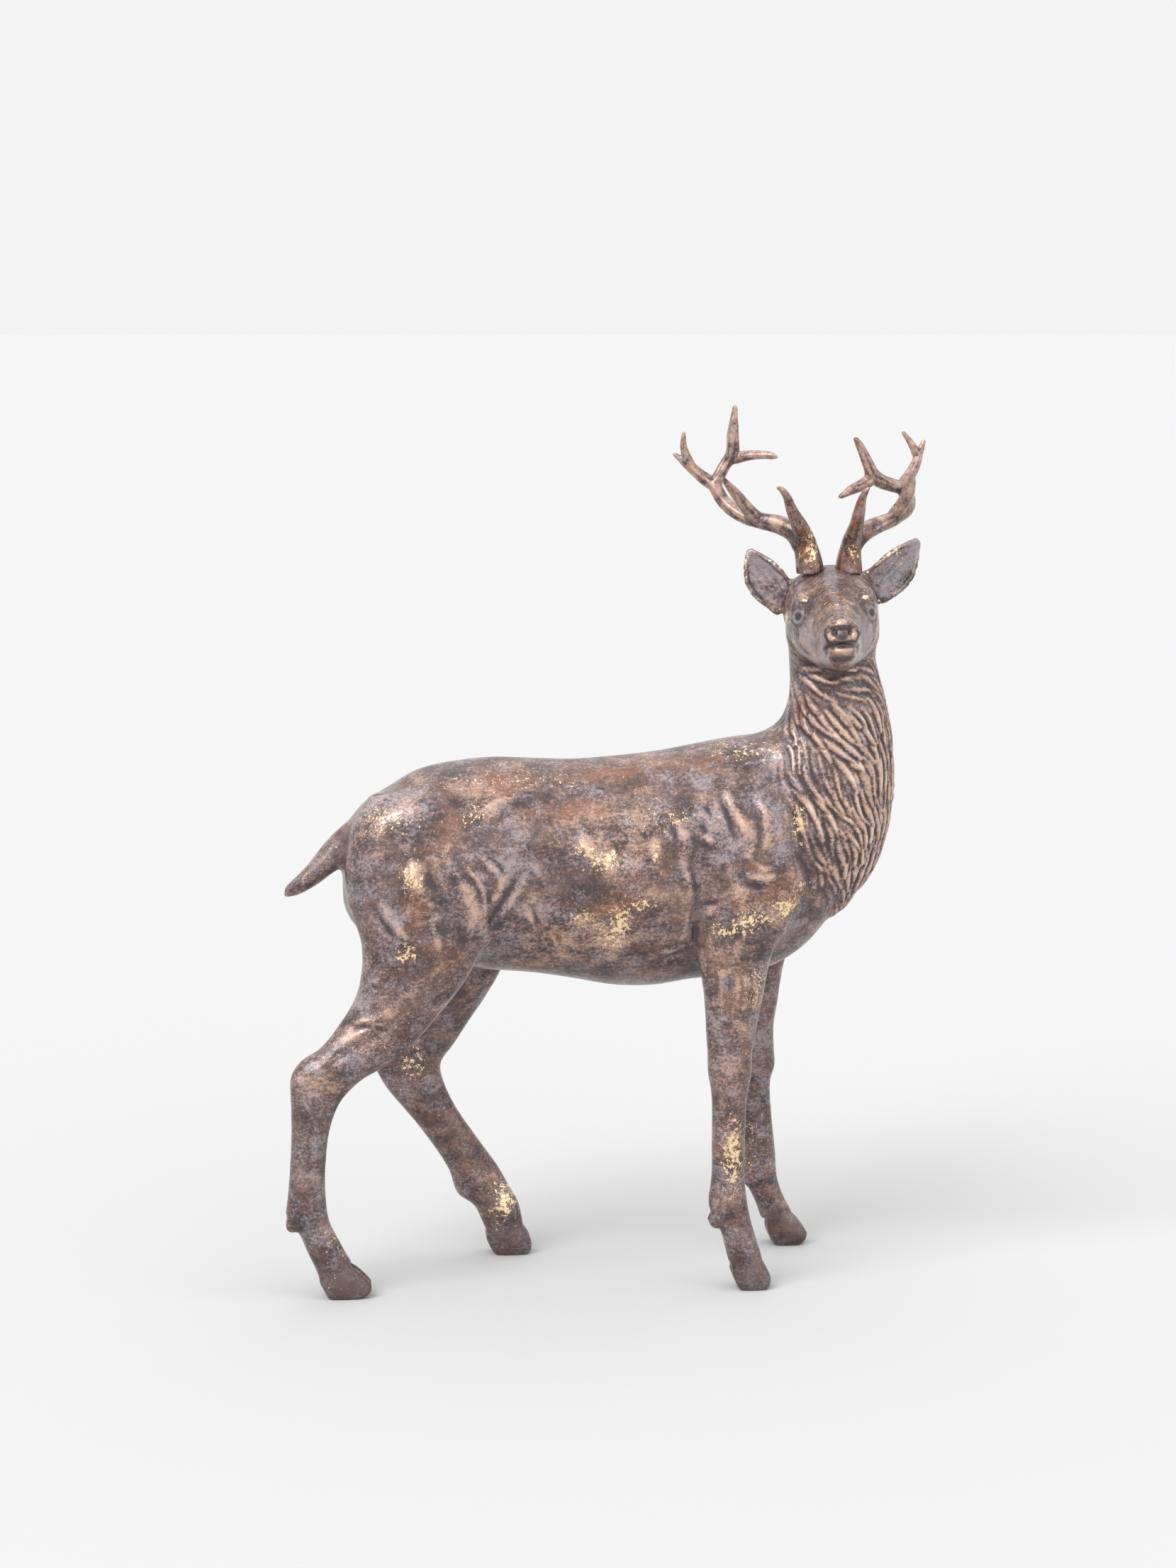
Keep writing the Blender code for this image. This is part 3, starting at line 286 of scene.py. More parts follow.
def ear_rings(root, middle, tip, faces, half_width, cup):
    """Crescent sections from the ear's root to its tip, hollow on the side that faces its point."""
    rings = []
    for t, width, depth in smooth_rows(EAR_OUTLINE, 3):
        centre, across, out = ear_axes(root, middle, tip, faces, t)
        thick = EAR_THICKNESS * (1 - 0.35 * t)
        back, front = [], []
        for i in range(EAR_SIDES):
            angle = math.pi * i / (EAR_SIDES - 1)
            u = -math.cos(angle)
            edge = centre + across * half_width * width * u + out * cup * depth * (u * u - 0.5)
            back.append(edge - out * thick * (0.3 + 0.3 * math.sin(angle)))
            front.append(edge + out * thick * (0.3 + 0.2 * math.sin(angle)))
        rings.append(back + front[::-1])
    return rings


# Lines cut or raised inside each ear: half width, height, then (share of the way to the tip, share of the
# way to its front edge) along them
EAR_LINES = [
    (1.2, 1.0, [(0.10, 0.9), (0.35, 0.95), (0.6, 0.93), (0.92, 0.8)]),
    (1.2, 1.0, [(0.10, -0.9), (0.35, -0.95), (0.6, -0.93), (0.92, -0.8)]),
    (1.1, -0.9, [(0.14, 0.66), (0.35, 0.72), (0.6, 0.68), (0.84, 0.45)]),
    (1.1, -0.9, [(0.14, -0.66), (0.35, -0.72), (0.6, -0.68), (0.84, -0.45)]),
    (0.9, 0.8, [(0.06, 0.0), (0.3, -0.12), (0.5, -0.25), (0.7, -0.35)]),
    (0.9, 0.8, [(0.08, 0.1), (0.35, 0.12), (0.6, 0.12), (0.8, 0.1)]),
    (0.8, 0.7, [(0.12, 0.2), (0.28, 0.38), (0.45, 0.5)]),
    (0.8, 0.6, [(0.3, -0.12), (0.42, -0.35), (0.5, -0.5)]),
    (1.1, -1.0, [(0.06, -0.55), (0.16, -0.2), (0.2, 0.2), (0.14, 0.55)]),
]


def ear_place(root, middle, tip, faces, half_width, cup, t, u):
    """A place in front of an ear's hollow, t of the way along it and u of the way across."""
    centre, across, out = ear_axes(root, middle, tip, faces, t)
    shares, widths, depths = np.array(EAR_OUTLINE).T
    width, depth = np.interp(t, shares, widths), np.interp(t, shares, depths)
    return (centre + across * half_width * width * u + out * (cup * depth * (u * u - 0.5) + 2)) * MM


def carve_ears(skin_of):
    """The rims, veins and hollows inside both ears."""
    for ear in EARS.values():
        for half_width, height, line in EAR_LINES:
            path = [skin_of.tree.find_nearest(ear_place(*ear, t, u))[0] for t, u in line]
            skin_of.stroke(path, half_width, height)
    skin_of.finish()


def figure_clay():
    """Every form of the figure as closed shells that overlap, in one mesh."""
    bm = bmesh.new()
    for form in FORMS:
        skin(bm, oval_rings(form))
    head = head_matrix()
    skin(bm, oval_rings(HEAD), head)
    for centre, radii in FACE_BALLS:
        for side in (-1, 1):
            ball(bm, (centre[0], side * centre[1], centre[2]), radii, head)
    for ear in EARS.values():
        skin(bm, ear_rings(*ear))
    for leg, outline in HOOVES.items():
        for side in (-1, 1):
            y = HOOF_MIDDLES[leg] + side * TOE_SPREAD
            skin(bm, oval_rings([(*p, y, w, -0.3) for p, w in zip(outline, TOE_HALF_WIDTHS)], 3))
            x, z = DEWCLAWS[leg]
            ball(bm, (x, HOOF_MIDDLES[leg] + side * DEWCLAW_SPREAD, z), DEWCLAW_RADII)
    for centre, radii, turn in MUSCLES:
        ball(bm, centre, radii, turn=turn)
    bmesh.ops.recalc_face_normals(bm, faces=bm.faces)
    return mesh_of(bm, "clay")


def mesh_of(bm, name):
    """Turns what was built into a mesh of its own."""
    mesh = bpy.data.meshes.new(name)
    bm.to_mesh(mesh)
    bm.free()
    return mesh


def new_object(name, mesh):
    """An object in the scene."""
    made = bpy.data.objects.new(name, mesh)
    bpy.context.scene.collection.objects.link(made)
    return made


def taken_from(thing):
    """The mesh that an object's modifiers make of it. The object goes."""
    evaluated = thing.evaluated_get(bpy.context.evaluated_depsgraph_get())
    made = bpy.data.meshes.new_from_object(evaluated)
    bpy.data.objects.remove(thing)
    return made


def remeshed(mesh, voxel):
    """One skin over every shell of a mesh."""
    thing = new_object("clay", mesh)
    modifier = thing.modifiers.new("Skin", "REMESH")
    modifier.mode = "VOXEL"
    modifier.voxel_size = voxel
    return taken_from(thing)


# Working the skin, as arrays of points. Its easing goes by weights in this many steps.
EASE_STEPS = 50


def points_of(mesh):
    """Its points as rows of numbers."""
    out = np.empty(len(mesh.vertices) * 3)
    mesh.vertices.foreach_get("co", out)
    return out.reshape(-1, 3)


def normals_of(mesh):
    """The way out of the skin at each point."""
    out = np.empty(len(mesh.vertices) * 3)
    mesh.vertices.foreach_get("normal", out)
    return out.reshape(-1, 3)


def set_points(mesh, points):
    """Moves its points to these places."""
    mesh.vertices.foreach_set("co", points.ravel())
    mesh.update()


def eased(mesh, weights, rounds):
    """Moves each point towards the mean of its neighbours, by its weight, many times."""
    thing = new_object("clay", mesh)
    group = thing.vertex_groups.new(name="eased")
    steps = np.round(weights * EASE_STEPS)
    for step in np.unique(steps[steps > 0]):
        group.add(np.nonzero(steps == step)[0].tolist(), step / EASE_STEPS, "REPLACE")
    modifier = thing.modifiers.new("Ease", "SMOOTH")
    modifier.vertex_group = "eased"
    modifier.factor = 2
    modifier.iterations = rounds
    made = taken_from(thing)
    set_points(mesh, points_of(made))
    bpy.data.meshes.remove(made)


# How far below the middle of the skull the chin, the ears, and the throat's top and foot are, and how far
# from it to each side the ears begin
UNDER_CHIN = 32
UNDER_EARS = 12
THROAT_TOP = 23
THROAT_FOOT = 39
EARS_FROM = 23
# How high the body begins, how far forward the face does and how far back the tail does, and over how far
# each fades in. The tail lies above TAIL_FOOT.
BODY_FROM, BODY_FADE = 120, 60
FACE_FROM, FACE_FADE = 25, 20
TAIL_FROM, TAIL_FADE = 134, 8
TAIL_FOOT = 200
EAR_FADE = 4
# How much each place is eased: least, how much more on the body, and how many times
LEAST_EASE, BODY_EASE = 0.10, 0.45
EASE_ROUNDS = 93


def ease_weights(points):
    """How much each place is eased: most where limbs join the body, least on hooves, ears and face."""
    x, y, z = (points / MM).T
    body = np.clip((z - BODY_FROM) / BODY_FADE, 0, 1)
    local = on_axes(points, head_matrix())
    face = np.clip((local[:, 0] - FACE_FROM) / FACE_FADE, 0, 1) * (z > HEAD_PLACE[2] - UNDER_CHIN)
    aside = np.abs(x - HEAD_PLACE[0]) - EARS_FROM
    ear = np.clip(aside / EAR_FADE, 0, 1) * (z > HEAD_PLACE[2] - UNDER_EARS)
    tail = np.clip((-x - TAIL_FROM) / TAIL_FADE, 0, 1) * (z > TAIL_FOOT)
    return LEAST_EASE + BODY_EASE * body * (1 - face) * (1 - ear) * (1 - tail)


# A distance that is outside the figure on every side
FAR_OUT = 200


class Skin:
    """A mesh being carved: its points, their normals, and how far each is to move along its normal."""

    def __init__(self, mesh):
        self.mesh = mesh
        self.points = points_of(mesh)
        self.normals = normals_of(mesh)
        self.relief = np.zeros(len(self.points))
        bm = bmesh.new()
        bm.from_mesh(mesh)
        self.tree = BVHTree.FromBMesh(bm)
        bm.free()
        self.by_height = np.argsort(self.points[:, 2])
        self.heights = self.points[self.by_height, 2]

    def near(self, path, reach):
        """The points within reach of the box around a path."""
        low, high = path.min(axis=0) - reach, path.max(axis=0) + reach
        level = self.by_height[slice(*np.searchsorted(self.heights, (low[2], high[2])))]
        return level[((self.points[level] > low) & (self.points[level] < high)).all(axis=1)]

    def dab(self, centre, radii, height, matrix=Matrix.Identity(4)):
        """A soft swelling, or a hollow where the height is below zero, with its own half sizes."""
        share = (on_axes(self.points, matrix) - np.array(centre)) / np.array(radii)
        self.relief += height * MM * np.exp(-(share ** 2).sum(axis=1))

    def onto(self, x, z, side=-1):
        """The place on the skin that lies over (x, z) as seen from one side, right being -1."""
        start = Vector((x, side * FAR_OUT, z)) * MM
        hit = self.tree.ray_cast(start, Vector((0, -side, 0)))[0]
        return np.array(hit if hit else self.tree.find_nearest(start)[0])

    def stroke(self, path, half_width, height):
        """A soft ridge or groove along a path of points, thinning to its ends."""
        path = np.array(path)
        which = self.near(path, half_width * 2 * MM)
        distance, t = along_path(self.points[which], path)
        width = half_width * MM * (0.35 + 0.65 * np.sin(np.pi * np.clip(t, 0.04, 0.96)))
        self.relief[which] += height * MM * np.exp(-(distance / width) ** 2) * np.sin(np.pi * t) ** 0.6

    def lock(self, path, half_width, height, groove):
        """A tapering lock of hair laid over whatever was carved before it."""
        path = np.array(path)
        which = self.near(path, half_width * 1.8 * MM)
        distance, t = along_path(self.points[which], path)
        width = half_width * MM * np.clip(0.55 + 1.3 * t, 0, 1) * np.sqrt(np.clip(1.03 - t ** 3, 0.02, 1))
        u = distance / width
        crown = height * MM * (0.3 + 0.7 * np.clip(t / 0.7, 0, 1)) * np.clip(1 - u ** 2, 0, 1) ** 0.7
        ring = np.where(u >= 1, np.exp(-((u - 1.15) / 0.28) ** 2), 1) * np.clip(t * 6, 0, 1)
        relief = self.relief[which]
        outside = relief * (1 - ring) - groove * MM * ring
        self.relief[which] = np.where(u < 1, np.maximum(crown, relief * (1 - t) - groove * MM), outside)

    def follow(self, start, flow, length, step=1.4):
        """A path over the skin from one place, in the direction that flow gives there."""
        place = Vector(start)
        path = [np.array(place)]
        for _ in range(max(2, int(length / step))):
            spot, normal, _, _ = self.tree.find_nearest(place)
            way = Vector(flow(spot))
            way = (way - normal * way.dot(normal)).normalized()
            place = self.tree.find_nearest(spot + way * step * MM)[0]
            path.append(np.array(place))
        return path

    def finish(self, mask=1.0):
        """Moves the points by the relief."""
        set_points(self.mesh, self.points + self.normals * (self.relief * mask)[:, None])
        self.points = points_of(self.mesh)
        self.normals = normals_of(self.mesh)
        self.relief[:] = 0


def along_path(points, path):
    """How far each point is from a path, and what share of the path lies before the nearest place."""
    best = np.full(len(points), np.inf)
    share = np.zeros(len(points))
    lengths = np.linalg.norm(np.diff(path, axis=0), axis=1)
    done = np.r_[0, np.cumsum(lengths)]
    for i, (start, end) in enumerate(zip(path, path[1:])):
        way = end - start
        t = np.clip((points - start) @ way / (way @ way), 0, 1)
        distance = np.linalg.norm(points - start - t[:, None] * way, axis=1)
        closer = distance < best
        best[closer] = distance[closer]
        share[closer] = ((done[i] + t * lengths[i]) / done[-1])[closer]
    return best, share


# The mane: the heights that it covers, and at each the x where it begins at the back of the neck
MANE_BACK = [(190, 118), (200, 112), (215, 104), (232, 96), (250, 90), (268, 86), (284, 84), (296, 90),
             (310, 93), (326, 94)]
# How steeply its locks fall at each height, in degrees below level
MANE_FALL = [(190, 88), (205, 78), (220, 66), (245, 60), (275, 57), (292, 48), (306, 26), (325, 6)]
# One lock of its hair: shortest and longest, half width, how far to the next, how high it stands, and how
# deep the groove around it is
LOCK_LENGTH = (15, 30)
LOCK_HALF_WIDTH = 2.1
LOCK_SPACING = 4.5
LOCK_HEIGHT = 1.25
LOCK_GROOVE = 0.6
# How far the skin sinks under the locks, how wide the mane's edge is, how far behind MANE_BACK it begins,
# the height of its foot, and how far below the middle of the skull it begins under the jaw
MANE_SINK = 0.7
MANE_EDGE = 15
MANE_PAST = 4
MANE_FOOT = 188
UNDER_JAW = 23.5
# Locks grow where the share of the mane is over this, from the best spaced of so many places
LOCKS_FROM = 0.35
LOCK_PLACES = 5000


def mane_share(points):
    """One inside the mane, falling to nothing over a few millimetres at its edge."""
    x, y, z = (points / MM).T
    heights, backs = np.array(MANE_BACK, float).T
    edge = np.interp(z, heights, backs)
    head = on_axes(points, head_matrix())
    under_jaw = np.clip((-UNDER_JAW - head[:, 2]) / 4, 0, 1)
    return (np.clip((x - edge + MANE_PAST) / MANE_EDGE, 0, 1) * np.clip((z - MANE_FOOT) / 5, 0, 1)
            * np.where(z > HEAD_PLACE[2] - THROAT_FOOT, under_jaw, 1)
            * np.clip((HEAD_PLACE[2] - THROAT_TOP - z) / 6, 0, 1))


def mane_flow(turn):
    """The way the hair lies, forwards and down in waves, turned down by some degrees more."""
    heights, falls = np.array(MANE_FALL, float).T

    def flow(spot):
        """The way that it lies at one spot."""
        x, y, z = spot / MM
        fall = np.interp(z, heights, falls) + turn
        fall += np.interp(x, [92, 106, 132, 146], [14, 0, 0, 26]) * np.interp(z, [215, 240], [0, 1])
        fall += 15 * math.sin(z / 5.5 + 1.6 * math.sin(x / 9) + y / 8)
        fall = math.radians(fall)
        return (math.cos(fall), 0, -math.sin(fall))

    return flow


def scattered(points, spacing, chance):
    """Some of the points, in a random order, none nearer to another than the spacing."""
    order = list(range(len(points)))
    chance.shuffle(order)
    kept = []
    for i in order:
        if not kept or np.linalg.norm(points[kept] - points[i], axis=1).min() > spacing * MM:
            kept.append(i)
    return points[kept]


def carve_mane(skin_of):
    """Locks laid from the bottom upwards, so that each covers the root of the one below it."""
    chance = random.Random(7)
    inside = np.nonzero(mane_share(skin_of.points) > LOCKS_FROM)[0]
    chosen = skin_of.points[chance.sample(list(inside), min(len(inside), LOCK_PLACES))]
    seeds = scattered(chosen, LOCK_SPACING, chance)
    for seed in seeds[np.argsort(seeds[:, 2])]:
        path = skin_of.follow(seed, mane_flow(chance.uniform(-12, 12)), chance.uniform(*LOCK_LENGTH))
        height = LOCK_HEIGHT * chance.uniform(0.6, 1.15)
        skin_of.lock(path, LOCK_HALF_WIDTH * chance.uniform(0.6, 1.3), height, LOCK_GROOVE)
    skin_of.relief -= MANE_SINK * MM
    skin_of.finish(mane_share(skin_of.points))


# Folds and muscle edges on each side of the body: half width, height, then (x, z) along it
FOLDS = [
    (5.0, -1.3, [(52, 262), (45, 240), (46, 216), (44, 192), (50, 170)]),
    (4.0, 0.7, [(40, 254), (36, 232), (37, 208), (38, 186)]),
    (5.0, 2.2, [(-86, 232), (-76, 214), (-68, 196), (-63, 176)]),
    (5.0, -1.8, [(-96, 226), (-86, 206), (-76, 188), (-70, 172)]),
    (6.0, -1.6, [(-116, 250), (-112, 226), (-112, 204), (-118, 184)]),
    (5.0, -1.2, [(66, 228), (78, 208), (80, 188), (74, 172)]),
    (4.0, 1.2, [(58, 232), (66, 208), (66, 186), (60, 168)]),
    (4.0, -1.2, [(62, 176), (60, 156), (60, 136), (61, 122)]),
    (3.5, 1.0, [(-86, 178), (-104, 164), (-122, 146), (-140, 136)]),
    (3.0, -1.0, [(-108, 154), (-124, 140), (-140, 131), (-152, 120)]),
    (3.0, 0.8, [(-116, 142), (-108, 136), (-100, 134)]),
    (3.0, -1.0, [(92, 262), (96, 244), (100, 226), (104, 208), (104, 190)]),
]
# The groove beside each lower leg's tendon: half width, height, the leg, then (x, z) along it
LEG_GROOVES = [
    (1.8, -0.9, "hind_right", [(-154, 104), (-157, 86), (-158, 66), (-157, 52)]),
    (1.8, -0.9, "hind_left", [(-104, 96), (-90, 78), (-78, 62), (-68, 48)]),
    (1.8, -0.8, "fore_right", [(58, 98), (59, 82), (59, 66), (60, 52)]),
    (1.8, -0.8, "fore_left", [(83, 98), (85, 80), (87, 64), (88, 50)]),
]
# Knees and hocks, which stand out by this height: middle and half sizes
KNEE_HEIGHT = 0.7
KNEES = {"fore_right": ((61, -39, 119), (15, 14, 8)), "fore_left": ((84.5, 45, 111), (15, 14, 8)),
         "hind_right": ((-155, -44, 116), (16, 14, 9)), "hind_left": ((-102, 38, 106), (18, 14, 9))}

# The cleft between each hoof's toes: half width, height, and z along it. Its places are found from this far
# ahead of the toe.
CLEFT = (1.8, -1.6, (20, 16, 12, 8, 4, 1))
AHEAD = 10


def side_of(leg):
    """Minus one for the stag's right, one for its left."""
    return -1 if leg.endswith("right") else 1


def carve_body(skin_of):
    """Folds, the grooves beside the tendons, knees, hocks and the clefts of the hooves."""
    for half_width, height, line in FOLDS:
        for side in (-1, 1):
            skin_of.stroke([skin_of.onto(x, z, side) for x, z in line], half_width, height)
    for half_width, height, leg, line in LEG_GROOVES:
        skin_of.stroke([skin_of.onto(x, z, side_of(leg)) for x, z in line], half_width, height)
    for centre, radii in KNEES.values():
        skin_of.dab(centre, radii, KNEE_HEIGHT)
    half_width, height, levels = CLEFT
    for leg, outline in HOOVES.items():
        toe = outline[-1][0] + AHEAD
        ahead = [Vector((toe, HOOF_MIDDLES[leg], z)) * MM for z in levels]
        hits = [skin_of.tree.ray_cast(start, Vector((-1, 0, 0)))[0] for start in ahead]
        skin_of.stroke([hit for hit in hits if hit], half_width, height)
    skin_of.finish()


# The face, on the head's own axes. Swellings and hollows that both sides share: middle, half sizes, height
FACE_DABS = [
    ((43, 19.5, 0.2), (8.5, 7, 8), -1.3), ((43.5, 19.5, 0.2), (4.4, 6, 4.0), 1.9),
    ((34, 19, 10), (9, 7, 3.5), 0.5), ((51, 15, 4), (4, 5, 4), -0.8),
    ((58, 14, -9), (12, 5, 8), -0.6), ((30, 22, -14), (12, 8, 9), 0.6),
    ((86, 6.2, -5.0), (4, 2.6, 3.2), 1.2), ((88.5, 4.6, -3.6), (3, 1.5, 1.8), -2.2),
    ((84, 8.5, -13), (4, 3, 2.4), -0.6),
]
# And those along the middle line
FACE_MIDDLE_DABS = [
    ((87.5, 0, 1.1), (4, 3.6, 2.2), 1.0), ((88.5, 0, -1.8), (4, 6.5, 1.4), -1.0),
    ((90, 0, -5.5), (3, 2.6, 2.6), 0.5), ((88, 0, -12.8), (4, 6, 1.9), 1.3),
    ((85, 0, -16.2), (5, 7, 1.6), -0.6), ((45, 0, 19), (14, 6, 6), -0.3),
]
# Lines cut or raised in the face on both sides: half width, height, then the places along them
FACE_LINES = [
    (0.9, 1.0, [(36, 21, 0.5), (39, 20.5, 4.2), (43.5, 19.3, 5.2), (47.5, 17.6, 3.6), (51, 16.3, -0.5)]),
    (0.9, -0.8, [(35, 21.5, 4.5), (39, 20.8, 7.2), (44, 19, 7.8), (49, 16.9, 5.2)]),
    (0.8, 1.0, [(36, 21, -1.5), (40, 20.4, -4.4), (44.5, 19.2, -5.2), (49, 17.2, -4.0), (52, 15.8, -2.5)]),
    (0.9, -0.7, [(38, 21, -6), (43, 20, -7.8), (48.5, 17.8, -7.2)]),
    (1.0, -0.9, [(51, 16.6, -2.2), (55, 15.3, -5), (59, 14, -8)]),
    (0.9, -0.8, [(43.5, 20.6, 2.6), (43.5, 20.9, 0), (43.7, 20.6, -2.4)]),
    (1.8, 0.8, [(33, 22, 7), (37, 20.5, 10.5), (43, 17.5, 12), (49, 13, 11.5)]),
    (0.9, 0.8, [(87, 5.8, -1.8), (86.5, 7.6, -3), (86, 8.2, -5), (86.5, 7, -6.8)]),
    (0.7, -0.6, [(84, 9.6, -6), (85, 9, -1.5), (86, 6.5, 1)]),
    (1.0, -0.6, [(28, 23, -10), (34, 21.5, -16), (40, 18, -22)]),
    (1.0, 0.5, [(26, 23, -13), (32, 21.5, -19), (38, 18, -25)]),
    (1.0, -0.6, [(24, 23, -16), (30, 21.5, -22), (36, 17, -28)]),
    (1.0, 0.5, [(22, 23, -19), (28, 20.5, -25), (34, 16, -30)]),
    (1.0, -0.5, [(46, 17, -12), (52, 15.5, -16), (58, 13, -20)]),
    (1.2, -0.5, [(14, 22, 4), (20, 23.5, 2), (26, 23.5, -2)]),
    (1.2, 0.5, [(14, 22, 0), (20, 23.5, -2.5), (26, 23.5, -6)]),
    (1.2, 0.7, [(24, 22.5, 9), (27, 18, 16), (28.5, 10, 20.3), (29, 0, 21.6)]),
]
MOUTH = (1.3, -1.7, [(76, 9.8, -13.8), (81.5, 8.6, -12.4), (85.8, 5.8, -10.4), (88.6, 0, -9.6),
                     (85.8, -5.8, -10.4), (81.5, -8.6, -12.4), (76, -9.8, -13.8)])


def carve_face(skin_of):
    """Eyes with their lids, brows, nose, nostrils, lips and the folds of the cheeks."""
    head = head_matrix()
    for centre, radii, height in FACE_DABS:
        for side in (-1, 1):
            skin_of.dab((centre[0], side * centre[1], centre[2]), radii, height, head)
    for centre, radii, height in FACE_MIDDLE_DABS:
        skin_of.dab(centre, radii, height, head)
    lines = [MOUTH]
    for half_width, height, line in FACE_LINES:
        lines += [(half_width, height, [(x, side * y, z) for x, y, z in line]) for side in (-1, 1)]
    for half_width, height, line in lines:
        path = [skin_of.tree.find_nearest(head @ (Vector(p) * MM))[0] for p in line]
        skin_of.stroke(path, half_width, height)
    skin_of.finish()


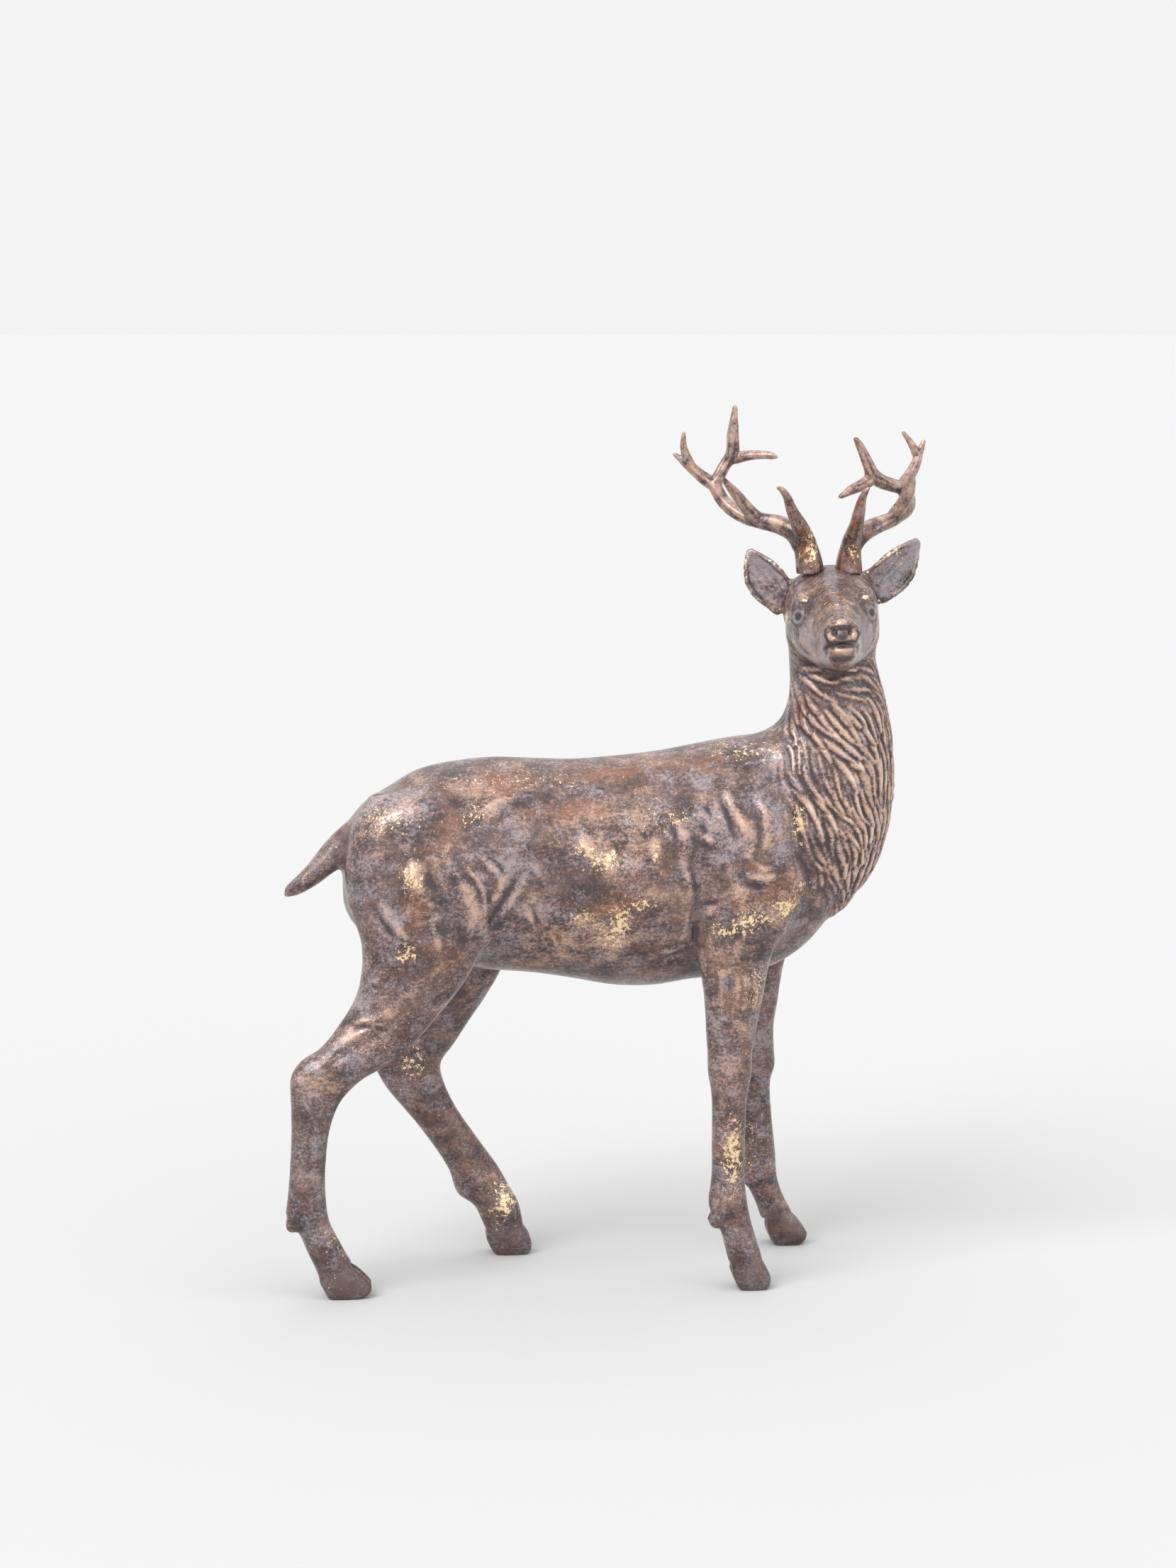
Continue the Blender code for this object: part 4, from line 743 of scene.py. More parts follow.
# Short hair in tufts, and folds of skin, as they lie on each side of the body: how wide and how high each
# stroke of the carving tool left them, then (x, z) along it
TUFTS = [
    # flank fan
    (1.6, 0.9, [(-79, 231), (-73, 224), (-67, 215), (-65, 206)]),
    (1.4, -0.7, [(-78, 225), (-71, 218), (-68, 210)]),
    (1.6, 0.9, [(-71, 236), (-65, 229), (-58, 222), (-57, 214)]),
    (1.4, -0.7, [(-65, 235), (-58, 227), (-54, 219)]),
    (1.8, 1.0, [(-50, 232), (-55, 222), (-60, 211), (-65, 202)]),
    (1.5, -0.8, [(-46, 227), (-51, 218), (-57, 208), (-62, 200)]),
    (1.8, 0.9, [(-42, 227), (-46, 218), (-52, 208), (-60, 198)]),
    (2.2, 1.2, [(-67, 215), (-66, 205), (-66, 195), (-65, 184)]),
    (1.2, -0.6, [(-52, 201), (-57, 197), (-62, 193)]),
    (1.2, 0.7, [(-52, 198), (-58, 192), (-63, 188)]),
    (1.2, -0.6, [(-52, 190), (-58, 187), (-62, 185)]),
    (1.2, -0.6, [(-55, 209), (-60, 203), (-64, 196)]),
    (1.6, -0.9, [(-70, 199), (-67, 188), (-64, 180)]),
    # behind the shoulder
    (2.0, 0.9, [(30, 253), (35, 247), (37, 239), (34, 230)]),
    (2.0, 0.9, [(35, 229), (38, 221), (40, 213), (39, 204)]),
    (2.0, 0.8, [(40, 206), (38, 196), (36, 187), (38, 179)]),
    (1.4, -0.9, [(40, 255), (42, 245), (43, 236), (40, 226), (43, 216), (44, 208), (43, 198)]),
    (1.3, -0.8, [(45, 258), (50, 254), (53, 249)]), (1.3, 0.8, [(42, 252), (48, 251), (52, 245)]),
    (1.3, -0.8, [(42, 247), (47, 245), (50, 240)]), (1.3, 0.8, [(43, 241), (48, 241), (53, 236)]),
    (1.3, -0.8, [(44, 236), (49, 236), (54, 232)]), (1.3, 0.8, [(43, 229), (48, 231), (53, 229)]),
    (1.3, -0.8, [(44, 224), (49, 226), (54, 225)]), (1.4, 0.9, [(44, 219), (48, 221), (52, 218)]),
    (1.4, -0.9, [(46, 208), (50, 206), (57, 208)]), (1.4, 0.4, [(45, 204), (50, 202), (54, 203)]),
    (1.4, -0.9, [(45, 200), (51, 198), (56, 200)]), (1.2, -0.7, [(29, 249), (32, 243), (33, 238)]),
    (1.2, -0.7, [(30, 236), (32, 230), (31, 224)]), (1.2, -0.7, [(31, 214), (34, 207), (33, 200)]),
    (1.2, 0.7, [(27, 246), (30, 239), (30, 232)]),
    # shoulder
    (3.5, 1.3, [(59, 267), (62, 257), (67, 248), (70, 239)]),
    (2.2, -1.0, [(55, 262), (59, 253), (62, 244), (65, 234)]),
    (3.0, 1.0, [(76, 263), (79, 253), (81, 242), (78, 232)]),
    (2.0, -0.8, [(71, 263), (75, 253), (76, 240), (74, 229)]),
    (2.2, 1.0, [(64, 225), (72, 220), (80, 219), (87, 222)]),
    (1.6, -0.8, [(65, 218), (73, 215), (81, 215)]),
    (1.8, 0.9, [(73, 229), (77, 224), (83, 224), (87, 229)]),
    (1.5, -0.7, [(92, 260), (95, 250), (96, 241)]), (1.5, 0.7, [(99, 237), (102, 227), (103, 217)]),
    (1.8, 0.9, [(73, 237), (70, 231), (73, 226)]),
    # elbow and arm
    (2.0, -1.2, [(46, 180), (43, 186), (43, 195), (47, 200)]),
    (2.4, 0.5, [(39, 181), (40, 190), (44, 198), (50, 202)]),
    (1.6, -0.9, [(18, 175), (26, 176), (34, 179), (41, 181)]),
    (1.8, 0.9, [(22, 180), (31, 181), (39, 184)]), (1.6, -0.7, [(52, 174), (54, 165), (53, 155)]),
    (2.0, 0.8, [(73, 171), (74, 159), (72, 148)]), (1.6, -0.7, [(65, 175), (67, 162), (65, 150)]),
    # thigh
    (1.8, 0.9, [(-134, 146), (-130, 148), (-123, 149), (-117, 146)]),
    (1.5, -0.9, [(-136, 142), (-130, 145), (-122, 145), (-116, 143)]),
    (1.5, 0.7, [(-127, 167), (-123, 169), (-118, 168)]),
    (1.4, -0.7, [(-127, 164), (-123, 166), (-117, 165)]),
    (2.0, 0.9, [(-94, 153), (-89, 155), (-84, 159)]),
    (1.6, -0.8, [(-95, 158), (-89, 160), (-85, 164)]),
    (3.0, 1.0, [(-120, 211), (-115, 202), (-108, 194), (-105, 187)]),
    (2.5, -0.9, [(-124, 209), (-119, 200), (-112, 191)]),
    (1.2, -0.6, [(-135, 209), (-133, 205), (-130, 202)]),
    (1.2, -0.6, [(-134, 202), (-132, 199), (-129, 196)]),
    (1.2, 0.6, [(-136, 214), (-134, 210), (-131, 206)]),
    (2.4, 0.9, [(-92, 203), (-93, 197), (-91, 189), (-88, 182)]),
    (2.0, -0.8, [(-87, 205), (-88, 197), (-86, 189)]),
    (2.0, 0.8, [(-75, 203), (-73, 194), (-75, 186)]),
    # belly
    (1.4, -0.8, [(-42, 208), (-40, 201), (-37, 194)]),
    (1.4, 0.7, [(-44, 206), (-42, 199), (-39, 192)]),
    (1.2, -0.6, [(-29, 196), (-28, 189), (-26, 182)]),
    (1.2, 0.5, [(-31, 194), (-29, 187), (-27, 180)]),
    # rump and ribs
    (3.5, 0.9, [(-67, 254), (-61, 257), (-51, 260), (-45, 261)]),
    (3.0, -0.7, [(-64, 248), (-56, 251), (-48, 255)]),
    (2.5, 0.8, [(-84, 241), (-86, 233), (-83, 227)]),
    (5.0, 1.2, [(-103, 232), (-102, 221), (-99, 213)]),
    (4.0, -1.0, [(-95, 232), (-94, 222), (-91, 213)]),
    (6.0, 1.2, [(-15, 246), (-13, 237), (-10, 227)]), (5.0, 1.2, [(24, 243), (22, 233), (21, 224)]),
    (6.0, -1.0, [(6, 241), (4, 230), (3, 221)]),
]
# The strokes are cut at these shares of those heights and widths
TUFT_HEIGHT = 1.25
TUFT_WIDTH = 0.85


def carve_tufts(skin_of):
    """The same tufts and folds on both sides."""
    for half_width, height, line in TUFTS:
        for side in (-1, 1):
            path = [skin_of.onto(x, z, side) for x, z in line]
            skin_of.stroke(path, half_width * TUFT_WIDTH, height * TUFT_HEIGHT)
    skin_of.finish()


# The part of the head that is carved finest: from how far forward on its own axes, how far to each side, how
# far down, and above what height. Then how that part is eased once its faces are cut, weight and rounds.
SKULL_FROM, SKULL_SIDE, JAW_DEPTH, ABOVE_NECK = 6, 25, 27, 325
HEAD_EASE = (0.5, 4)
# How much each round of easing moves a point when the level around it is found
LEVEL_EASE = 0.6


def head_share(points):
    """One on the face and skull, nothing on the ears, neck and body."""
    local = on_axes(points, head_matrix())
    inside = (local[:, 0] > SKULL_FROM) & (np.abs(local[:, 1]) < SKULL_SIDE) & (local[:, 2] > -JAW_DEPTH)
    return np.where(inside & (points[:, 2] > ABOVE_NECK * MM), 1.0, 0.0)


def split_head(mesh):
    """Cuts each face of the head in four, for the finer work there."""
    inside = head_share(points_of(mesh)) > 0
    bm = bmesh.new()
    bm.from_mesh(mesh)
    bm.verts.ensure_lookup_table()
    edges = [e for e in bm.edges if inside[e.verts[0].index] and inside[e.verts[1].index]]
    bmesh.ops.subdivide_edges(bm, edges=edges, cuts=1, use_grid_fill=True)
    bm.to_mesh(mesh)
    bm.free()
    weight, rounds = HEAD_EASE
    eased(mesh, head_share(points_of(mesh)) * weight, rounds)


def relief_of(mesh, rounds, full):
    """How far each point stands above the skin around it, 1 at the full height and -1 at that depth."""
    level = mesh.copy()
    eased(level, np.full(len(level.vertices), LEVEL_EASE), rounds)
    above = ((points_of(mesh) - points_of(level)) * normals_of(level)).sum(axis=1)
    bpy.data.meshes.remove(level)
    return np.clip(above / (full * MM), -1, 1)


def cut_flat(mesh, place, direction):
    """Takes away what lies beyond a plane and closes the cut with flat faces."""
    bm = bmesh.new()
    bm.from_mesh(mesh)
    geometry = list(bm.verts) + list(bm.edges) + list(bm.faces)
    bmesh.ops.bisect_plane(bm, geom=geometry, plane_co=Vector(place), plane_no=Vector(direction),
                           clear_outer=True, dist=1e-7)
    rim = [e for e in bm.edges if e.is_boundary]
    bmesh.ops.holes_fill(bm, edges=rim, sides=0)
    bmesh.ops.triangulate(bm, faces=[f for f in bm.faces if len(f.verts) > 3])
    bmesh.ops.recalc_face_normals(bm, faces=bm.faces)
    bm.to_mesh(mesh)
    bm.free()


def thinned(mesh, triangles, freely=None):
    """The same form with fewer faces, most of them where it bends most or may be thinned least."""
    thing = new_object("clay", mesh)
    modifier = thing.modifiers.new("Thin", "DECIMATE")
    if freely is not None:
        group = thing.vertex_groups.new(name="freely")
        for weight in np.unique(freely):
            group.add(np.nonzero(freely == weight)[0].tolist(), weight, "REPLACE")
        modifier.vertex_group = "freely"
        modifier.vertex_group_factor = THIN_FACTOR
    mesh.calc_loop_triangles()
    modifier.ratio = min(1, triangles / len(mesh.loop_triangles))
    return taken_from(thing)


def keep_values(fine, mesh, **values):
    """Gives each point of the thinned mesh the values that its nearest point had before."""
    tree = KDTree(len(fine))
    for i, point in enumerate(fine):
        tree.insert(point, i)
    tree.balance()
    nearest = np.array([tree.find(v.co)[1] for v in mesh.vertices])
    for name, value in values.items():
        mesh.attributes.new(name, "FLOAT", "POINT").data.foreach_set("value", value[nearest])


# The seats that the antlers stand in, in the top of the head: middles, height, radius, the room around the
# antler, and how high the cutter reaches
SEATS = {"right": (104.6, -17.0), "left": (125.0, -17.0)}
SEAT_ABOVE_SKULL = 17.3
SEAT_HEIGHT = HEAD_PLACE[2] + SEAT_ABOVE_SKULL
SEAT_RADIUS = 7.5
SEAT_GAP = 0.3
SEAT_CUT = 20


def cut_seats(mesh):
    """A shallow round seat in the top of the head under each antler."""
    thing = new_object("clay", mesh)
    cutters = []
    for x, y in SEATS.values():
        bm = bmesh.new()
        radius = (SEAT_RADIUS + SEAT_GAP) * MM
        bmesh.ops.create_cone(bm, cap_ends=True, segments=48, radius1=radius, radius2=radius,
                              depth=SEAT_CUT * MM)
        cutter = new_object("seat_cutter", mesh_of(bm, "seat_cutter"))
        cutter.location = Vector((x, y, SEAT_HEIGHT - SEAT_GAP + SEAT_CUT / 2)) * MM
        cutters.append(cutter)
        modifier = thing.modifiers.new("Seat", "BOOLEAN")
        modifier.operation = "DIFFERENCE"
        modifier.solver = "EXACT"
        modifier.object = cutter
    made = taken_from(thing)
    for cutter in cutters:
        bpy.data.objects.remove(cutter)
    return made


# Where the gold leaf lies thickest, and where the paint is stained rust, hazed with grey, and rubbed or left
# dark: (x, z) seen from the side, half sizes and how strongly. The rubbed patches on the belly's bulge and
# high on the flank are painted highlight as well as rubbing.
LEAF = [
    (4, 198, 7, 12, 1.0), (15, 207, 8, 4, 0.9), (0, 189, 10, 9, 0.8), (-16, 200, 13, 5, 0.6),
    (-4, 229, 10, 6, 1.0), (-14, 235, 8, 5, 0.8), (22, 232, 4, 10, 0.7), (71, 198, 13, 5, 1.0),
    (90, 203, 9, 7, 1.0), (60, 192, 11, 6, 0.8), (98, 214, 6, 6, 0.7), (-106, 183, 10, 5, 1.0),
    (-103, 222, 7, 10, 0.8), (-72, 252, 8, 8, 0.6), (-116, 252, 20, 9, 0.6), (97, 246, 5, 14, 0.8),
    (30, 250, 26, 7, 0.5), (62, 75, 6, 22, 1.0), (76, 163, 8, 14, 0.7), (-100, 110, 9, 12, 0.7),
    (-52, 32, 8, 12, 1.0), (-60, 268, 60, 7, 0.4), (70, 282, 30, 8, 0.5), (-145, 32, 6, 10, 0.5),
    (70, 382, 6, 8, 0.8), (152, 384, 5, 9, 0.5), (-125, 135, 22, 12, 0.4), (84, 60, 8, 30, 0.4),
    (104, 389, 6, 12, 1.0), (126, 386, 5, 9, 0.7), (118, 360, 20, 12, 0.5), (128, 270, 16, 40, 0.2),
]
RUST_PATCHES = [
    (-55, 266, 26, 8, 1.0), (-12, 272, 26, 7, 1.0), (-15, 254, 30, 7, 1.0), (45, 276, 26, 6, 0.8),
    (-88, 183, 9, 12, 1.0), (5, 205, 18, 20, 0.8), (85, 212, 22, 10, 1.0), (-102, 210, 8, 16, 0.7),
    (70, 130, 9, 30, 0.6), (-84, 250, 12, 8, 0.7), (22, 235, 8, 14, 0.6), (-110, 150, 14, 10, 0.5),
    (122, 205, 14, 16, 0.6), (-75, 80, 14, 30, 0.4),
]
HAZE_PATCHES = [
    (-54, 226, 15, 24, 1.0), (-60, 187, 12, 9, 0.8), (52, 245, 14, 18, 1.0), (80, 240, 14, 18, 0.8),
    (-125, 255, 14, 9, 0.9), (-104, 262, 16, 8, 0.8), (42, 222, 6, 26, 1.0), (-30, 258, 14, 7, 0.5),
    (-112, 196, 8, 14, 0.8), (60, 262, 22, 10, 0.7), (-125, 160, 12, 14, 0.6), (-156, 80, 8, 40, 0.5),
    (55, 150, 5, 20, 0.6), (88, 120, 6, 40, 0.6), (130, 290, 12, 44, 0.6), (-150, 225, 12, 10, 0.6),
    (-72, 215, 12, 18, 0.9),
]
RUBBED_AND_HIGHLIGHT_PATCHES = [
    # the first two here, on the belly's bulge and high on the flank, are painted highlight as well as
    # rubbing
    (0, 240, 34, 16, 1.0), (-60, 256, 14, 7, 0.8), (88, 208, 22, 12, 0.8), (-102, 216, 11, 17, 0.7),
    (-20, 188, 36, 15, 1.0), (118, 346, 26, 20, 0.8), (132, 250, 22, 60, 0.7), (-148, 116, 18, 14, 0.6),
    (62, 100, 10, 50, 0.5), (-70, 214, 12, 20, 0.7), (60, 248, 12, 18, 0.6), (-60, 70, 20, 30, 0.4),
    (-23, 219, 16, 7, -0.8), (-124, 212, 13, 15, -0.9), (34, 230, 8, 12, -0.5), (42, 205, 7, 24, -0.6),
    (75, 384, 11, 12, -1.0), (160, 386, 11, 14, -0.8), (120, 376, 22, 6, -0.6), (-45, 244, 16, 6, -0.6),
    (60, 274, 30, 5, -0.5), (-88, 205, 8, 12, -0.5), (20, 176, 24, 7, -0.2),
]


def patch_share(points, patches):
    """The strongest patch above zero at each point, less the strongest below it."""
    x, _, z = (points / MM).T
    more, less = np.zeros(len(points)), np.zeros(len(points))
    for cx, cz, rx, rz, strength in patches:
        share = strength * np.exp(-((x - cx) / rx) ** 2 - ((z - cz) / rz) ** 2)
        more, less = np.maximum(more, share), np.minimum(less, share)
    return more + less


# Nearness to the middle line of an ear's hollow is 1 on that line and 0 at the ear's half width. The ear's
# own paint reaches down to the first of these, and turns from hollow to rim at the second, this sharply.
EAR_REACH, EAR_RIM, EAR_SHARP = -0.25, 0.15, 6


def ear_share(points):
    """One in each ear's hollow, falling to minus one on its rim, and nothing elsewhere."""
    share = np.zeros(len(points))
    for ear in EARS.values():
        near = np.full(len(points), -1.0)
        for t in np.linspace(0.3, 0.95, 10):
            width = ear[4] * np.interp(t, *np.array(EAR_OUTLINE).T[:2])
            away = np.linalg.norm(points - np.array(ear_place(*ear, t, 0)), axis=1) / MM
            near = np.maximum(near, 1 - away / width)
        share = np.where(near > EAR_REACH, np.clip((near - EAR_RIM) * EAR_SHARP, -1, 1), share)
    return share


# Easing draws thin forms in, so the skin is let out by this much after it
SKIN_SWELL = 0.35
# The last easing, over the whole skin but the head's finest part: weight and rounds
LAST_EASE = (0.35, 2)
# What the paint follows: rounds of easing to the level around, and the height that counts as 1
FINE_RELIEF = (14, 0.55)
BROAD_RELIEF = (90, 1.6)
# How strongly the head is kept from being thinned
HEAD_KEPT = 0.9
# Paint in the ears: how the broad relief counts there, grey in the hollow, and gold on the rim
EAR_BROAD, EAR_HAZE, EAR_LEAF = 0.6, 1.6, 0.5


def finished_figure():
    """The figure carved, thinned, cut flat under its hooves and seated for the antlers."""
    mesh = remeshed(figure_clay(), FIGURE_VOXEL)
    eased(mesh, ease_weights(points_of(mesh)), EASE_ROUNDS)
    skin_of = Skin(mesh)
    skin_of.relief[:] = SKIN_SWELL * MM
    skin_of.finish()
    carve_body(skin_of)
    carve_tufts(skin_of)
    split_head(mesh)
    skin_of = Skin(mesh)
    carve_face(skin_of)
    carve_ears(skin_of)
    carve_mane(skin_of)
    weight, rounds = LAST_EASE
    eased(mesh, weight * (1 - head_share(points_of(mesh))), rounds)
    fine = points_of(mesh)
    values = {"raised": relief_of(mesh, *FINE_RELIEF), "broad": relief_of(mesh, *BROAD_RELIEF)}
    # the rubbed values carry painted highlight on the belly and flank as well as rubbing
    for name, patches in (("leaf", LEAF), ("rust", RUST_PATCHES), ("haze", HAZE_PATCHES),
                          ("rubbed", RUBBED_AND_HIGHLIGHT_PATCHES)):
        values[name] = patch_share(fine, patches)
    in_ear = ear_share(fine)
    values["broad"] = np.where(in_ear == 0, values["broad"], EAR_BROAD * in_ear)
    values["haze"] += EAR_HAZE * np.maximum(in_ear, 0)
    values["leaf"] += EAR_LEAF * np.maximum(-in_ear, 0)
    mesh = thinned(mesh, FIGURE_TRIANGLES, 1 - HEAD_KEPT * head_share(fine))
    cut_flat(mesh, (0, 0, MIDDLE.z), (0, 0, -1))
    mesh = cut_seats(mesh)
    keep_values(fine, mesh, **values)
    set_points(mesh, points_of(mesh) - MIDDLE)
    mesh.shade_smooth()
    return mesh


class Wire:
    """A value in a material, so that a sum in Python becomes a Math node."""

    def __init__(self, finish, socket):
        self.finish, self.socket = finish, socket

    def math(self, operation, first, second):
        """One sum of two values."""
        return self.finish.node("Math", {"operation": operation}, {0: first, 1: second})

    def __add__(self, other):
        return self.math("ADD", self, other)

    def __mul__(self, other):
        return self.math("MULTIPLY", self, other)

    def __sub__(self, other):
        return self.math("SUBTRACT", self, other)

    def __rsub__(self, other):
        return self.math("SUBTRACT", other, self)

    __radd__ = __add__
    __rmul__ = __mul__


class Finish:
    """A paint finish, built from nodes in the order that they are called for."""

    def __init__(self, name):
        self.material = bpy.data.materials.new(name)
        self.material.use_nodes = True
        self.tree = self.material.node_tree
        self.shader = self.tree.nodes["Principled BSDF"]

    def node(self, kind, settings, values, out=0):
        """A node of a kind, its settings first, then a value or a wire for each of its sockets."""
        made = self.tree.nodes.new("ShaderNode" + kind)
        for name, value in settings.items():
            setattr(made, name, value)
        for name, value in values.items():
            self.join(value, made.inputs[name])
        return Wire(self, made.outputs[out])

    def join(self, value, socket):
        """A wire or a plain value into a socket."""
        if isinstance(value, Wire):
            self.tree.links.new(value.socket, socket)
        else:
            socket.default_value = value

    def feed(self, **values):
        """Values or wires for the shader's own sockets, by their names."""
        for name, value in values.items():
            self.join(value, self.shader.inputs[name.replace("_", " ")])

    def place(self, stretch=(1, 1, 1)):
        """The place on the object in millimetres, each axis stretched."""
        at = self.node("TexCoord", {}, {}, "Object")
        return self.node("VectorMath", {"operation": "MULTIPLY"},
                         {0: at, 1: [s / MM for s in stretch]})

    def cloud(self, size, detail=4.0, shift=0.0, stretch=(1, 1, 1), rough=0.55):
        """Noise from 0 to 1 whose patches are about the given size in millimetres."""
        at = self.node("VectorMath", {"operation": "ADD"}, {0: self.place(stretch), 1: [shift] * 3})
        return self.node("TexNoise", {}, {"Vector": at, "Scale": 1 / size, "Detail": detail,
                                          "Roughness": rough})

    def step(self, value, low, high):
        """Zero below low, one above high, and smooth between."""
        return self.node("MapRange", {"interpolation_type": "SMOOTHSTEP"},
                         {0: value, 1: low, 2: high, 3: 0.0, 4: 1.0})

    def blend(self, share, under, over):
        """One colour over another, by a share."""
        return self.node("Mix", {"data_type": "RGBA"}, {0: share, 6: under, 7: over}, 2)

    def value(self, name):
        """What the mesh says at each point."""
        return self.node("Attribute", {"attribute_name": name}, {}, "Fac")

    def on_head(self):
        """The place on the head's own axes in millimetres, its right side folded onto its left."""
        at = self.node("TexCoord", {}, {}, "Object")
        place = Vector(HEAD_PLACE) * MM - MIDDLE
        turn = [math.radians(a) for a in (HEAD_ROLL, HEAD_PITCH, HEAD_YAW)]
        at = self.node("Mapping", {"vector_type": "TEXTURE"},
                       {"Vector": at, "Location": place, "Rotation": turn, "Scale": (MM, MM, MM)})
        x, y, z = [self.node("SeparateXYZ", {}, {0: at}, i) for i in range(3)]
        y = self.node("Math", {"operation": "ABSOLUTE"}, {0: y})
        return self.node("CombineXYZ", {}, {0: x, 1: y, 2: z})

    def spots(self, at, rows, soft=0.25):
        """One within any of the spots, given by middle and half sizes, with a soft edge."""
        total = None
        for centre, radii in rows:
            scaled = self.node("VectorMath", {"operation": "MULTIPLY"}, {0: at, 1: [1 / r for r in radii]})
            away = self.node("VectorMath", {"operation": "DISTANCE"},
                             {0: scaled, 1: [c / r for c, r in zip(centre, radii)]}, "Value")
            inside = self.step(away, 1 + soft, 1 - soft)
            total = inside if total is None else self.most(total, inside)
        return total

    def most(self, first, second):
        """The larger of two values."""
        return self.node("Math", {"operation": "MAXIMUM"}, {0: first, 1: second})


# The paints: dark umber, brown, lilac grey, pearl for the eyes, copper, paler copper, rust and gold leaf
UMBER = (0.034, 0.020, 0.022, 1)
BROWN = (0.150, 0.090, 0.078, 1)
LILAC = (0.310, 0.270, 0.300, 1)
PEARL = (0.34, 0.36, 0.41, 1)
COPPER = (0.50, 0.315, 0.235, 1)
PALE = (0.70, 0.58, 0.52, 1)
RUST = (0.215, 0.086, 0.046, 1)
GOLD = (0.95, 0.70, 0.42, 1)

# Paint on the face, on the head's own axes, the same on both sides: middle and half sizes
FACE_DARK_AND_SHADE = [
    ((87.5, 0, -1.0), (6, 7.6, 1.7)), ((87, 7.9, -4.5), (5, 1.3, 4.2)), ((88.5, 3.6, -3.4), (4, 1.8, 2.0)),
    ((88.5, 0, -4.6), (5, 2.6, 3.0)),
    ((87.5, 3.0, -8.3), (5, 5.4, 1.2)), ((85, 0, -10.3), (7, 9.2, 1.4)), ((82.5, 8.4, -13), (6, 1.4, 2.8)),
    ((84.5, 0, -16.8), (6, 6.2, 1.9)), ((45.2, 19.5, 0.1), (7.4, 6, 5.2)),
    # painted shade beside each eye, behind it and below it
    ((37.5, 21.5, 3.4), (2.6, 3, 2.6)), ((46.5, 18.6, -8.4), (2.4, 3, 3.0)),
    ((51, 15.4, 5.5), (3.4, 4, 3.6)),
]
FACE_TAN = [
    ((88, 0, 2.1), (6, 2.8, 1.3)), ((87.3, 5.8, -4.9), (5, 1.8, 2.1)), ((88.5, 0, -12.6), (5, 5.0, 1.2)),
]
# The nostrils, the eyes with iris and pupil, then grey haze and gold leaf, as above
NOSTRILS = [((88.5, 3.9, -3.2), (5, 1.8, 1.9))]
EYES = [((45.6, 19.5, 0.0), (5.0, 5, 3.6))]
IRISES = [((46.2, 19.5, 0.2), (4.0, 5, 3.0))]
PUPILS = [((46.2, 19.5, 0.0), (2.4, 5, 2.0))]
FACE_GREY = [((89.5, 0, -5.4), (3, 2.3, 2.3)), ((56, 15, -9), (8, 8, 7)), ((66, 0, -20), (14, 12, 4))]
FACE_GOLD = [((44.6, 16.3, 7.9), (3.0, 2.6, 1.2)), ((30, 22, -4), (5, 4, 5))]

# The paint is darker on the legs and darkest on the hooves: it begins at the first height and is full at the
# second
LEG_PAINT = (150, 100)
HOOF_PAINT = (25, 14)
# How strongly the paint's grain shows as relief, and how high it stands
GRAIN = {"Strength": 0.35, "Distance": 0.35 * MM}


